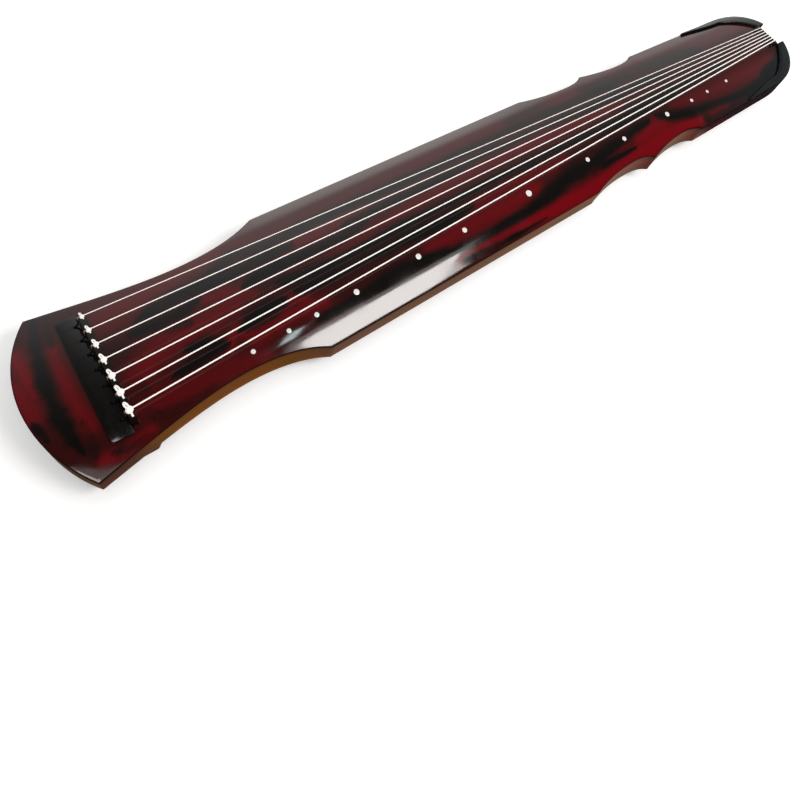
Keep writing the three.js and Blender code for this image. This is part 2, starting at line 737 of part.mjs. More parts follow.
// Hollow of the top board, with a raised hump left above each sound hole
function hollowSolid() {
  const end = BODY_END - HOLLOW_END_WALL;
  const places = [
    HOLLOW_START, NECK_PLACE, SHOULDER_PLACE, WAIST_PLACE, WAIST_LOW_PLACE,
    CUSP_PLACE, HOLLOW_PLACE, TAIL_CUSP_PLACE, end,
  ];
  const inner = places.map((place) => [place, halfWidthAt(place) - SIDE_WALL]);
  const outline = wholeOutline(toPoints([[HOLLOW_START, 0], ...inner, [end, 0]]));
  const ceilingAt = (place, side) => topAt(place, side) - TOP_THICKNESS;
  const floorLevel = SEAM_LEVEL - OVERRUN;
  const ceiling = [0, ...CEILING_SHARES].map((share) => outline.map((p) => {
    const side = p.y * (1 - share);
    return new THREE.Vector3(p.x, side, ceilingAt(p.x, side));
  }));
  const floor = outline.map((p) => new THREE.Vector3(p.x, 0, floorLevel));
  const rim = outline.map((p) => new THREE.Vector3(p.x, p.y, floorLevel));
  return toSolid(rowsGeometry([floor, rim, ...ceiling]));
}

function humpSolids() {
  const holes = [
    [POOL_PLACE, POOL_LENGTH, POOL_HALF_WIDTH],
    [POND_PLACE, POND_LENGTH, POND_HALF_WIDTH],
  ];
  return holes.map(([place, length, halfWidth]) => {
    const shape = slot(place, length + 2 * HUMP_MARGIN, halfWidth + HUMP_MARGIN);
    const ceiling = topAt(place, halfWidth + HUMP_MARGIN) - TOP_THICKNESS;
    return upright(shape, ceiling - HUMP_HEIGHT, ceiling + TOP_THICKNESS);
  });
}

// Markers: thin discs let into the top board, square to its surface
function markerFrames() {
  return MARKER_PLACE_SHARES.map((share, index) => {
    const place = STRING_LENGTH * share;
    const side = -mix(MARKER_HEAD_SETBACK, MARKER_TAIL_SETBACK, share);
    const width = along(FULL_WIDTHS, place);
    const tilt = Math.atan((-2 * along(ARCH_HEIGHTS, place) * side) / (width * width));
    return { place, side, tilt, radius: MARKER_RADIUS * MARKER_SIZE_SHARES[index] };
  });
}

function markerDisc(frame, radius, from, to) {
  const disc = new THREE.CylinderGeometry(radius, radius, to - from, 12).rotateX(Math.PI / 2);
  disc.translate(0, 0, (from + to) / 2).rotateX(frame.tilt);
  return disc.translate(frame.place, frame.side, topAt(frame.place, frame.side));
}

function addTopBoard() {
  const outline = wholeOutline(HALF_OUTLINE);
  const shell = bodySolid(outline, roundedRings(SEAM_LEVEL + GAP, 0), SURFACE_SHARES, topAt);
  const hollow = cutAll(hollowSolid(), humpSolids());
  const recess = upright(pegPoolShape(GAP), SEAM_LEVEL - OVERRUN, PEG_PLATE_TOP + GAP);
  const markerSeats = markerFrames()
    .map((frame) => toSolid(markerDisc(frame, frame.radius + GAP, -MARKER_SUNK - GAP, OVERRUN)));
  const seats = [
    hollow,
    recess,
    tailGate(),
    nutSeat(),
    ...crownBlocks(GAP),
    ...cordHoles(PEG_PLATE_TOP, EDGE_LEVEL + HEAD_ARCH_HEIGHT + OVERRUN),
    ...markerSeats,
  ];
  addMesh("top_board", toGeometry(cutAll(shell, seats)), LACQUER);
}

function footPlaces() {
  const side = WAIST_LOW_HALF_WIDTH - FOOT_EDGE_SETBACK;
  return [{ name: "goose_foot_near", side: -side }, { name: "goose_foot_far", side }];
}

const FOOT_PLACE = mix(WAIST_LOW_PLACE, CUSP_PLACE, FOOT_PLACE_SHARE);

// The bottom is two boards that meet at the neck: a short one round the peg pool, then the long one
function addBottomBoards() {
  const top = SEAM_LEVEL;
  const turn = BOTTOM_EDGE_ROUND * BOTTOM_EDGE_SHARE;
  const rings = [
    [BOTTOM_EDGE_ROUND, () => FOOT_HEIGHT],
    [turn, () => FOOT_HEIGHT + turn],
    [0, () => FOOT_HEIGHT + BOTTOM_EDGE_ROUND],
    [0, () => top],
  ];
  const board = bodySolid(wholeOutline(HALF_OUTLINE), rings, [], () => top);
  const [from, to] = [FOOT_HEIGHT - OVERRUN, top + OVERRUN];
  const cuts = [
    upright(slot(POOL_PLACE, POOL_LENGTH, POOL_HALF_WIDTH), from, to),
    upright(slot(POND_PLACE, POND_LENGTH, POND_HALF_WIDTH), from, to),
    upright(pegPoolShape(0), from, to),
    tailGate(),
    lowerNutSeat(),
    ...footPlaces().map(({ side }) => {
      const seat = FOOT_HEIGHT + FOOT_TENON_LENGTH + GAP;
      return toSolid(cylinder(FOOT_TENON_RADIUS + GAP, FOOT_PLACE, side, from, seat, 16));
    }),
  ];
  const whole = cutAll(board, cuts);
  const [start, end] = [-HEAD_LENGTH - OVERRUN, BODY_END + OVERRUN];
  const reach = HEAD_HALF_WIDTH + OVERRUN;
  const head = upright(rectangle(start, BOTTOM_JOINT_PLACE, reach), from, to);
  const tail = upright(rectangle(BOTTOM_JOINT_PLACE + GAP, end, reach), from, to);
  addMesh("bottom_board_head", toGeometry(whole.intersect(head)), LACQUER);
  addMesh("bottom_board", toGeometry(whole.intersect(tail)), LACQUER);
}

function addSoundPosts() {
  const floor = SEAM_LEVEL + GAP;
  const ceilingAt = (place, side) => topAt(place, side) - TOP_THICKNESS - GAP;
  const [radius, half] = [ROUND_POST_RADIUS, SQUARE_POST_WIDTH / 2];
  const roundTop = ceilingAt(ROUND_POST_PLACE, POST_TOP_SHARE * radius);
  const round = cylinder(radius, ROUND_POST_PLACE, 0, floor, roundTop, 16);
  addMesh("sound_post_round", round, BARE_WOOD);
  const squareTop = ceilingAt(SQUARE_POST_PLACE, POST_TOP_SHARE * half);
  const shape = rectangle(SQUARE_POST_PLACE - half, SQUARE_POST_PLACE + half, half);
  addMesh("sound_post_square", uprightGeometry(shape, floor, squareTop), BARE_WOOD);
}

// Bridge ridge: follows the arch, leans in a little and slopes down at both ends
function addBridgeRidge() {
  const halfLengths = [RIDGE_HALF_LENGTH, RIDGE_HALF_LENGTH - RIDGE_END_SLOPE];
  const rows = RIDGE_SIDE_SHARES.map((share) => {
    const [base, crest] = halfLengths.map((length) => share * length);
    const crestLevel = topAt(0, crest) + RIDGE_HEIGHT;
    return [
      new THREE.Vector3(-RIDGE_BACK, base, topAt(-RIDGE_BACK, base) + GAP),
      new THREE.Vector3(-RIDGE_BACK + RIDGE_TAPER, crest, crestLevel - RIDGE_TAPER),
      new THREE.Vector3(-RIDGE_BACK + 2 * RIDGE_TAPER, crest, crestLevel),
      new THREE.Vector3(RIDGE_FRONT - 2 * RIDGE_TAPER, crest, crestLevel),
      new THREE.Vector3(RIDGE_FRONT - RIDGE_TAPER, crest, crestLevel - RIDGE_TAPER),
      new THREE.Vector3(RIDGE_FRONT, base, topAt(RIDGE_FRONT, base) + GAP),
    ];
  });
  addMesh("bridge_ridge", toGeometry(toSolid(cappedRows(rows))), EBONY);
}

function addBridgePlate() {
  const front = -RIDGE_BACK - GAP;
  const back = front - PLATE_LENGTH;
  const half = PLATE_HALF_LENGTH;
  const corner = PLATE_CORNER;
  const turn = corner * PLATE_CORNER_SHARE;
  const shape = toPoints([
    [front, -half],
    [front, half],
    [back + corner, half],
    [back + turn, half - turn],
    [back, half - corner],
    [back, corner - half],
    [back + turn, turn - half],
    [back + corner, -half],
  ]);
  const ceiling = EDGE_LEVEL + ARCH_HEIGHT + OVERRUN;
  const raised = upright(shape, FOOT_HEIGHT, ceiling).intersect(underTop(PLATE_HEIGHT));
  const cuts = [underTop(GAP), ...cordHoles(SEAM_LEVEL, ceiling)];
  addMesh("bridge_plate", toGeometry(cutAll(raised, cuts)), EBONY);
}

function addPegPlate() {
  const plate = upright(pegPoolShape(0), PEG_PLATE_FLOOR, PEG_PLATE_TOP);
  const holes = cordHoles(SEAM_LEVEL - OVERRUN, PEG_PLATE_TOP + OVERRUN);
  addMesh("peg_pool_plate", toGeometry(cutAll(plate, holes)), EBONY);
}

const PEG_TOP = PEG_PLATE_FLOOR - GAP;

function addPegs() {
  const tip = PEG_GROUND_CLEARANCE - PEG_TOP;
  const shoulder = -PEG_HEAD_LENGTH - PEG_NECK_LENGTH;
  const profile = [
    [0, tip],
    [PEG_TIP_RADIUS * PEG_TIP_ROUND_SHARES[0], tip],
    [PEG_TIP_RADIUS, tip * PEG_TIP_ROUND_SHARES[1]],
    [PEG_BODY_RADIUS, mix(shoulder, tip, PEG_BULGE_SHARE)],
    [PEG_NECK_RADIUS, shoulder],
    [PEG_NECK_RADIUS, -PEG_HEAD_LENGTH],
    [PEG_HEAD_RADIUS, -PEG_HEAD_LENGTH * PEG_HEAD_SHARE],
    [PEG_HEAD_RADIUS, 0],
    [PEG_BORE_RADIUS, 0],
    [PEG_BORE_RADIUS, -PEG_BORE_DEPTH],
    [0, -PEG_BORE_DEPTH],
  ];
  stringSides().forEach((side, index) => {
    const peg = addMesh(`tuning_peg_${index + 1}`, lathe(profile, 12), EBONY);
    peg.position.set(CORD_PLACE, side, PEG_TOP);
  });
}

function addPegGuards() {
  const [half, top] = [GUARD_LENGTH / 2, FOOT_HEIGHT - GAP];
  const [start, end] = [CORD_PLACE - half, CORD_PLACE + half];
  const bend = GUARD_TAPER * GUARD_BEND_SHARES[0];
  const bendLevel = top * GUARD_BEND_SHARES[1];
  const profile = new THREE.Shape();
  profile.moveTo(end, top);
  profile.lineTo(end, top - GUARD_TAPER);
  profile.quadraticCurveTo(end - bend, bendLevel, end - GUARD_TAPER, 0);
  profile.lineTo(start + GUARD_TAPER, 0);
  profile.quadraticCurveTo(start + bend, bendLevel, start, top - GUARD_TAPER);
  profile.lineTo(start, top);
  const side = PEG_POOL_HALF_LENGTH + GUARD_POOL_SETBACK + GUARD_THICKNESS / 2;
  const geometry = crosswise(profile.getPoints(4), GUARD_THICKNESS / 2);
  [["peg_guard_near", -side], ["peg_guard_far", side]].forEach(([name, y]) => {
    addMesh(name, geometry.clone(), EBONY).position.y = y;
  });
}

function addGooseFeet() {
  const top = FOOT_HEIGHT - GAP;
  const profile = [
    [0, 0],
    [FOOT_BASE_RADIUS - FOOT_CHAMFER, 0],
    [FOOT_BASE_RADIUS, FOOT_CHAMFER],
    [FOOT_BASE_RADIUS, FOOT_BASE_HEIGHT - FOOT_CHAMFER],
    [FOOT_SHAFT_RADIUS, FOOT_BASE_HEIGHT],
    [FOOT_SHAFT_RADIUS, top - FOOT_FLANGE_HEIGHT],
    [FOOT_FLANGE_RADIUS, top - FOOT_FLANGE_HEIGHT],
    [FOOT_FLANGE_RADIUS, top],
    [FOOT_TENON_RADIUS, top],
    [FOOT_TENON_RADIUS, FOOT_HEIGHT + FOOT_TENON_LENGTH],
    [0, FOOT_HEIGHT + FOOT_TENON_LENGTH],
  ];
  footPlaces().forEach(({ name, side }) => {
    addMesh(name, lathe(profile, 24), EBONY).position.set(FOOT_PLACE, side, 0);
  });
}

function addNuts() {
  addMesh("tail_nut", crosswise(nutProfile(), NUT_HALF_WIDTH), EBONY);
  addMesh("lower_nut", crosswise(lowerNutProfile(), NUT_HALF_WIDTH), EBONY);
}

function addCrownCorners() {
  const rings = roundedRings(FOOT_HEIGHT, CROWN_RISE);
  const surfaceAt = (place, side) => topAt(place, side) + CROWN_RISE;
  const raised = bodySolid(wholeOutline(HALF_OUTLINE), rings, SURFACE_SHARES, surfaceAt);
  ["crown_corner_far", "crown_corner_near"].forEach((name, index) => {
    addMesh(name, toGeometry(crownBlocks(0)[index].intersect(raised)), EBONY);
  });
}

function addMarkers() {
  markerFrames().forEach((frame, index) => {
    const disc = markerDisc(frame, frame.radius, -MARKER_SUNK, MARKER_THICKNESS - MARKER_SUNK);
    addMesh(`marker_${index + 1}`, disc, SHELL);
  });
}

function ridgeTopAt(side) {
  return topAt(0, side) + RIDGE_HEIGHT;
}

// Each bow climbs over the string that it crosses
function easedRise(turnShare) {
  return THREE.MathUtils.smoothstep(turnShare, ...KNOT_RISE_SHARES);
}

function knotPoints(side, radius) {
  const lift = 2 * radius + KNOT_SPACE;
  const points = [];
  const at = (back, out, height) => {
    const level = ridgeTopAt(side + out) + GAP + radius + height;
    points.push(new THREE.Vector3(KNOT_PLACE - back, side + out, level));
  };
  at(0, 0, 0);
  for (let i = 1; i <= BOW_STEPS; i += 1) {
    const turn = (i / BOW_STEPS) * 2 * Math.PI;
    const height = lift * easedRise(i / BOW_STEPS);
    at(BOW_HALF_WIDTH * Math.sin(turn), (BOW_LENGTH / 2) * (1 - Math.cos(turn)), height);
  }
  for (let i = 1; i <= SMALL_BOW_STEPS; i += 1) {
    const turn = (i / SMALL_BOW_STEPS) * 2 * Math.PI;
    const height = lift * (1 + easedRise(i / SMALL_BOW_STEPS));
    at(SMALL_BOW_RADIUS * Math.sin(turn), -SMALL_BOW_RADIUS * (1 - Math.cos(turn)), height);
  }
  for (const turnShare of KNOT_TAIL_SHARES) {
    const turn = (turnShare * Math.PI) / 2;
    const out = KNOT_TAIL_RADIUS * (1 - Math.cos(turn));
    at(KNOT_TAIL_RADIUS * Math.sin(turn), -out, 2 * lift);
  }
  at(KNOT_TAIL_RADIUS, -KNOT_TAIL_RADIUS - KNOT_TAIL_LENGTH, 2 * lift);
  return points;
}

// Over the nut and down the tail to the lower nut, at the string's own side
function nutPoints(side, radius) {
  return bendPoints(radius + GAP).map((p) => new THREE.Vector3(p.x, side, p.y));
}

// Each string is wound on its foot below the one before it
function windingLevel(index) {
  const first = index < NEAR_FOOT_COUNT ? 0 : NEAR_FOOT_COUNT;
  let level = FOOT_HEIGHT - GAP - FOOT_FLANGE_HEIGHT - WINDING_SPACE - STRING_RADII[first];
  for (let i = first; i < index; i += 1) {
    const pitch = 2 * STRING_RADII[i] + WINDING_SPACE;
    level -= WINDING_TURNS * pitch + STRING_RADII[i] + STRING_RADII[i + 1] + WINDING_SPACE;
  }
  return level;
}

function windingPoints(index, from) {
  const radius = STRING_RADII[index];
  const near = index < NEAR_FOOT_COUNT;
  const side = footPlaces()[near ? 0 : 1].side;
  const turnWay = near ? 1 : -1;
  const reach = FOOT_SHAFT_RADIUS + radius + GAP;
  const [run, rise] = [from.x - FOOT_PLACE, from.y - side];
  const start = Math.atan2(rise, run) + turnWay * Math.acos(reach / Math.hypot(run, rise));
  const pitch = 2 * radius + WINDING_SPACE;
  const steps = Math.round(WINDING_STEPS * WINDING_TURNS);
  const points = [];
  for (let i = 0; i <= steps; i += 1) {
    const turned = (i / steps) * WINDING_TURNS;
    const angle = start + turnWay * 2 * Math.PI * turned;
    const level = windingLevel(index) - pitch * turned;
    const [x, y] = [FOOT_PLACE + reach * Math.cos(angle), side + reach * Math.sin(angle)];
    points.push(new THREE.Vector3(x, y, level));
  }
  const last = points[points.length - 1];
  const heading = last.clone().sub(points[points.length - 2]).setZ(0).normalize();
  points.push(last.clone().addScaledVector(heading, 2 * radius));
  return points;
}

function stringPoints(index) {
  const radius = STRING_RADII[index];
  const side = spread(BRIDGE_HALF_SPREAD, index);
  const knot = knotPoints(side, radius).reverse();
  const edge = knot[knot.length - 1].clone();
  edge.x = RIDGE_FRONT;
  const bend = nutPoints(spread(NUT_HALF_SPREAD, index), radius);
  return [...knot, edge, ...bend, ...windingPoints(index, bend[bend.length - 1])];
}

function addStrings() {
  STRING_RADII.forEach((radius, index) => {
    const points = stringPoints(index);
    const gap = leastGapToItself(points, radius).toFixed(2);
    console.log(`string_${index + 1}: ${Math.round(lengthOf(points))} long, least gap to itself ${gap}`);
    addMesh(`string_${index + 1}`, tube(points, radius, 6), STRING_WHITE);
  });
}

// Silk cord: up from the bore of its peg, through the head, and over the back of the ridge
function cordPoints(side) {
  const reach = CORD_RADIUS + GAP;
  const low = topAt(CORD_PLACE, side) + PLATE_HEIGHT + reach;
  const crest = ridgeTopAt(side) + reach;
  const back = -RIDGE_BACK - reach;
  const stop = KNOT_PLACE - BOW_HALF_WIDTH - STRING_RADII[0] - CORD_RADIUS;
  const rising = CORD_RISE_SHARES.map(([run, rise]) => [mix(CORD_PLACE, back, run), mix(low, crest, rise)]);
  return [
    [CORD_PLACE, PEG_TOP - PEG_CORD_DEPTH],
    [CORD_PLACE, PEG_PLATE_FLOOR],
    [CORD_PLACE, low],
    ...rising,
    [back + RIDGE_TAPER / 2, crest - 2 * reach],
    [back + RIDGE_TAPER, crest - reach * CORD_BEND_SHARE],
    [back + reach, crest],
    [stop, crest],
  ].map(([x, z]) => new THREE.Vector3(x, side, z));
}

function addCords() {
  stringSides().forEach((side, index) => {
    const points = cordPoints(side);
    console.log(`silk_cord_${index + 1}: ${Math.round(lengthOf(points))} long`);
    addMesh(`silk_cord_${index + 1}`, tube(points, CORD_RADIUS, 8), SILK_RED);
  });
}

addTopBoard();
addBottomBoards();
addSoundPosts();
addBridgeRidge();
addBridgePlate();
addPegPlate();
addPegs();
addPegGuards();
addGooseFeet();
addNuts();
addCrownCorners();
addMarkers();
addStrings();
addCords();

// The middle of the length comes to rest over the origin
const guqin = new THREE.Group();
body.position.x = -new THREE.Box3().setFromObject(body).getCenter(new THREE.Vector3()).x;
guqin.add(body);

export default guqin;
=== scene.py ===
"""The looks of a seven-stringed guqin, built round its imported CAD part.

Lengths are in millimetres up to the moment a mesh is made, and in metres from there on.
A place is measured from the top of the bridge ridge towards the tail, a side across the body
towards the far edge, and a level from the surface that the feet stand on.
"""

import math
from functools import partial

import bmesh
import bpy
import numpy as np
from mathutils import Matrix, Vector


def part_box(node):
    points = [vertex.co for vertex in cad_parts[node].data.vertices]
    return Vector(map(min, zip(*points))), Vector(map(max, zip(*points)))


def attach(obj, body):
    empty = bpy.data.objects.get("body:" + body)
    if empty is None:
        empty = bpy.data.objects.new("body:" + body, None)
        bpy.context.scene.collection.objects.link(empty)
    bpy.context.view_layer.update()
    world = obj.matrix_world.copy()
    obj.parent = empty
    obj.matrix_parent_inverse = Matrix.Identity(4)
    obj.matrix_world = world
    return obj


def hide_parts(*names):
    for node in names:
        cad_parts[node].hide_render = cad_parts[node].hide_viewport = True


bl_info = {
    "name": "Seven-stringed guqin",
    "version": (1, 0, 0),
    "blender": (4, 5, 0),
    "location": "3D View > Sidebar > Guqin",
    "description": "Builds the lacquered body, fittings, strings and studio of a guqin",
    "category": "Object",
}

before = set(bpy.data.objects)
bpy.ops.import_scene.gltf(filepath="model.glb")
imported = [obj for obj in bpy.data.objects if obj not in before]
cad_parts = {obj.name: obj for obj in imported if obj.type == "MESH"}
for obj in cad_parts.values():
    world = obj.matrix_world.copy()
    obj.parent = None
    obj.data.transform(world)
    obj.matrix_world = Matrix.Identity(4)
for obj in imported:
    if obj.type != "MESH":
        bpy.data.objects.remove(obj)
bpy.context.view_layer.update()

MM = 0.001
SAME_POINT = 1e-7
INSTRUMENT = "instrument"
STRING_COUNT = 7
HEAD_PLACE = -96.0
TAIL_PLACE = 1140.0
STRING_LENGTH = 1120.0
CENTRE_PLACE = HEAD_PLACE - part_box("top_board")[0].x / MM

# The body's plan: each stop's place and half width, and the shares of the run and of the
# change in width at which the handles of the curve that leads there lie
HEAD_CORNER = (-59.0, 104.0)
TAIL_ROUND = (1060.0, 77.0)
PLAN_STOPS = [
    (HEAD_CORNER, None),
    ((122.0, 78.0), ((0.32, 0.42), (0.7, 1.0))),
    ((222.0, 99.0), ((0.42, 0.0), (0.74, 0.32))),
    ((662.0, 91.0), None),
    ((744.0, 77.0), ((0.3, 0.62), (0.62, 1.0))),
    ((781.0, 86.0), ((0.52, 0.0), (0.78, 0.36))),
    ((851.0, 73.5), ((0.26, 0.5), (0.66, 1.0))),
    ((886.0, 81.4), ((0.46, 0.0), (0.78, 0.4))),
    (TAIL_ROUND, None),
    ((1140.0, 15.0), ((0.62, 0.0), (0.89, 0.17))),
    ((1140.0, 0.0), None),
]
CURVE_STEPS = 60
SHARPEST_MITRE = 0.5
FULL_WIDTHS = [(-59.0, 104.0), (222.0, 99.0), (781.0, 86.0), (1060.0, 77.0)]
EDGE_LEVELS = [(-96.0, 53.0), (222.0, 58.0), (886.0, 58.0), (1140.0, 55.0)]
ARCH_HEIGHTS = [(-96.0, 19.0), (222.0, 21.0), (781.0, 21.0), (1140.0, 19.0)]
FOOT_LEVEL = 27.0
SEAM_LEVEL = 36.0
LOW_ROUND = 2.5
HIGH_ROUND = 1.6

# Hollow and sound holes, each hole its place, length and half width
HOLLOW = (64.0, 1053.0)
SIDE_WALL = 13.0
TOP_THICKNESS = 11.0
INSIDE_FROM = 6.0
SOUND_HOLES = [(385.0, 212.0, 14.0), (905.0, 112.0, 12.5)]
HUMP_MARGIN = 9.0
HUMP_HEIGHT = 6.0

# Peg pool: half its length and half its width
PEG_POOL = (12.5, 73.3)
CORD_PLACE = -13.0
CORD_HOLE_RADIUS = 2.0
PEG_POOL_CEILING = 40.6
PLATE_FLOOR = 36.3
PLATE_THICKNESS = 4.0

# The play round pieces that are set in
GAP = 0.3

# How far the cutters reach
BELOW_BODY = 20.0
HOLE_CUT_TOP = 40.0
ABOVE_BODY = 90.0
OVERSHOOT = 4.0

# Ridge and plate
RIDGE_HEIGHT = 20.0
RIDGE_FRONT = 2.0
RIDGE_BACK = 7.0
RIDGE_HALF_LENGTH = 71.0
RIDGE_END_SLOPE = 4.0
RIDGE_SLOPE = 1.0
RIDGE_STATIONS = 41
RIDGE_CHAMFER = 0.2
BRIDGE_PLATE = (-31.3, -7.3)
BRIDGE_PLATE_HALF = 77.0
BRIDGE_PLATE_RISE = 3.2
PLATE_CORNER = 5.0
PLATE_STATIONS = 49
SUNK = 0.4

# Tail
GATE_HALF_WIDTH = 21.6
NUT_START = 1108.0
NUT_END = 1134.0
NUT_HALF_WIDTH = 21.0
NUT_RISE = 4.4
NUT_DROP = 17.0
NUT_DEPTH = 9.0
NUT_FRONT = [(0.0, 0.0), (0.12, 0.2), (0.32, 0.45), (0.58, 0.7), (0.85, 0.9), (1.0, 1.0)]
LOWER_NUT_FLOOR = 24.6
LOWER_NUT_CEILING = FOOT_LEVEL + 6.0
LOWER_NUT_ROUND = 7.0
LOWER_NUT_LENGTH = 18.0
LOWER_NUT_FRONT = [(0.0, 0.0), (0.1, 0.5), (0.42, 0.88), (1.0, 1.0)]
CROWN_START = 1003.0
CROWN_TIP_WIDTH = 1.4
CROWN_SIDE_WIDTH = 11.5
CROWN_END_WIDTH = 17.5
CROWN_RISE = 4.0
CROWN_DEPTH = 7.0
CROWN_PROUD = 0.2
CROWN_SUNK = 1.5
CROWN_BEND = 0.64
CROWN_KEEL = 0.6
# A crown's outer rounding and inner lip: the most of each, and the most as a share of the width
CROWN_ROUNDS = [(3.2, 0.36), (1.6, 0.22)]

# Strings, thickest first from the near side, and how far the outer ones lie from the middle
STRING_RADII = [0.85, 0.8, 0.74, 0.68, 0.62, 0.56, 0.5]
BRIDGE_SPREAD = 60.3
NUT_SPREAD = 15.6
CLEARANCE = 0.1

# Feet, and how the strings are wound round them
FOOT_PLACE = 756.33
FOOT_SIDE = 55.0
FOOT_WAIST = 9.0
FOOT_RIM = 1.6
NEAR_FOOT_COUNT = 4
WINDING_TURNS = 1.25
WINDING_GAP = 0.5

# Knots: their place, the thickness that their measures are for, and how far aside the coil lies
KNOT_PLACE = -2.0
FULL_KNOT = 1.15
WRAP_SHIFT = -1.4

# Silk cords: the place where each ends, the steps along it and the sides of its strands
CORD_END = -2.6
CORD_STEP = 0.5
CORD_SIDES = 8

# Pegs: between which levels the hollows begin, are full, and end
FLUTED_LEVELS = (5.0, 8.0, 25.0, 27.0)
FLUTE_SHARPNESS = 0.7

# Guards beside the pegs
GUARD_SIDE = 80.0
GUARD_REACH = 28.0
GUARD_HALF_WIDTH = 6.0

# Markers: how far along the strings each lies, as a share, and its radius
MARKERS = [
    (1 / 8, 3.06), (1 / 6, 3.1), (1 / 5, 3.2), (1 / 4, 3.9), (1 / 3, 3.95), (2 / 5, 3.67),
    (1 / 2, 4.7), (3 / 5, 3.67), (2 / 3, 3.67), (3 / 4, 3.9), (4 / 5, 2.91), (5 / 6, 2.73),
    (7 / 8, 2.59),
]
MARKER_SIDES = (66.0, 32.4)
MARKER_THICKNESS = 1.3
DISC_RINGS = 24
DISC_SQUARENESS = 14.0

# Black clouds in the lacquer: how black each brush stroke gets, and its points, each a place,
# a side and half the stroke's width there
CLOUD_STROKES = [
    (1.0, [(-50, 96, 6), (-57, 62, 7), (-63, 30, 9), (-65, 0, 10), (-65, -28, 10), (-63, -50, 8),
           (-60, -66, 5)]),
    (0.1, [(-38, 96, 4), (-41, 78, 5), (-42, 55, 4)]),
    (0.5, [(-89, -22, 4), (-86, -34, 5), (-84, -42, 3)]),
    (0.1, [(-47, -46, 4), (-46, -62, 5), (-50, -74, 6)]),
    (0.1, [(-30, -86, 4), (-12, -88, 4), (6, -86, 4)]),
    (0.0, [(14, -66, 6), (22, -76, 6), (50, -76, 5), (84, -74, 4)]),
    (-0.1, [(12, 24, 9), (14, -10, 9), (16, -44, 8)]),
    (0.7, [(58, 34, 10), (90, 38, 13), (125, 36, 11), (160, 34, 12), (180, 34, 9)]),
    (0.6, [(34, 21, 5), (60, 20, 10), (95, 20, 8), (112, 22, 5)]),
    (0.1, [(72, 4, 5), (92, 2, 5)]),
    (0.5, [(150, 50, 8), (178, 58, 9), (200, 52, 8)]),
    (0.9, [(62, -44, 7), (88, -42, 9), (112, -42, 7)]),
    (0.8, [(84, -27, 7), (102, -30, 10), (112, -36, 8)]),
    (1.0, [(146, -32, 7), (160, -28, 11), (180, -26, 11), (194, -26, 7)]),
    (1.0, [(178, 12, 9), (195, 14, 12), (228, 16, 9)]),
    (0.5, [(196, 36, 8), (222, 36, 9), (240, 34, 6)]),
    (0.6, [(228, 16, 9), (262, 12, 9), (300, 12, 8), (336, 18, 8)]),
    (0.5, [(200, 52, 7), (260, 52, 8), (330, 50, 8), (420, 48, 8), (520, 46, 8), (600, 46, 7),
           (700, 44, 8), (800, 44, 9)]),
    (0.7, [(320, 26, 6), (380, 26, 7), (450, 27, 8), (540, 29, 6), (640, 28, 6), (740, 24, 8),
           (900, 22, 9)]),
    (0.8, [(212, -6, 8), (240, -12, 12), (280, -16, 10), (330, -14, 9), (380, -12, 9)]),
    (0.8, [(225, -24, 8), (270, -30, 8), (330, -30, 8), (400, -28, 12), (450, -30, 9),
           (475, -30, 4)]),
    (0.9, [(380, -10, 7), (470, -12, 8), (560, -11, 7), (660, -13, 8), (720, -18, 12),
           (800, -16, 13), (900, -12, 10), (1000, -8, 8)]),
    (1.0, [(225, -66, 5), (262, -66, 8), (300, -63, 11), (345, -60, 14), (385, -62, 10),
           (412, -67, 7)]),
    (1.0, [(400, -70, 6), (450, -71, 6), (500, -70, 7), (550, -68, 8), (590, -64, 11),
           (620, -58, 14), (650, -55, 15), (690, -52, 14)]),
    (1.0, [(690, -50, 12), (730, -44, 9), (770, -40, 7), (800, -37, 5)]),
    (0.8, [(690, -62, 6), (728, -62, 4.5), (756, -62, 2)]),
    (1.0, [(428, -86, 4), (470, -87, 4), (520, -88, 3.5), (566, -88, 2)]),
    (1.0, [(828, -38, 7), (846, -46, 10), (880, -54, 8), (930, -58, 7), (985, -63, 6),
           (1020, -66, 8), (1060, -66, 12), (1100, -62, 14)]),
    (0.2, [(905, -72, 6), (950, -76, 5), (1010, -76, 7)]),
    (0.8, [(1060, -54, 8), (1100, -46, 9), (1118, -30, 6)]),
    (0.2, [(760, 56, 10), (820, 48, 12), (900, 42, 13), (980, 36, 10)]),
    (1.0, [(1004, 72, 3), (1040, 66, 4), (1084, 60, 4), (1110, 44, 4), (1128, 26, 4)]),
]
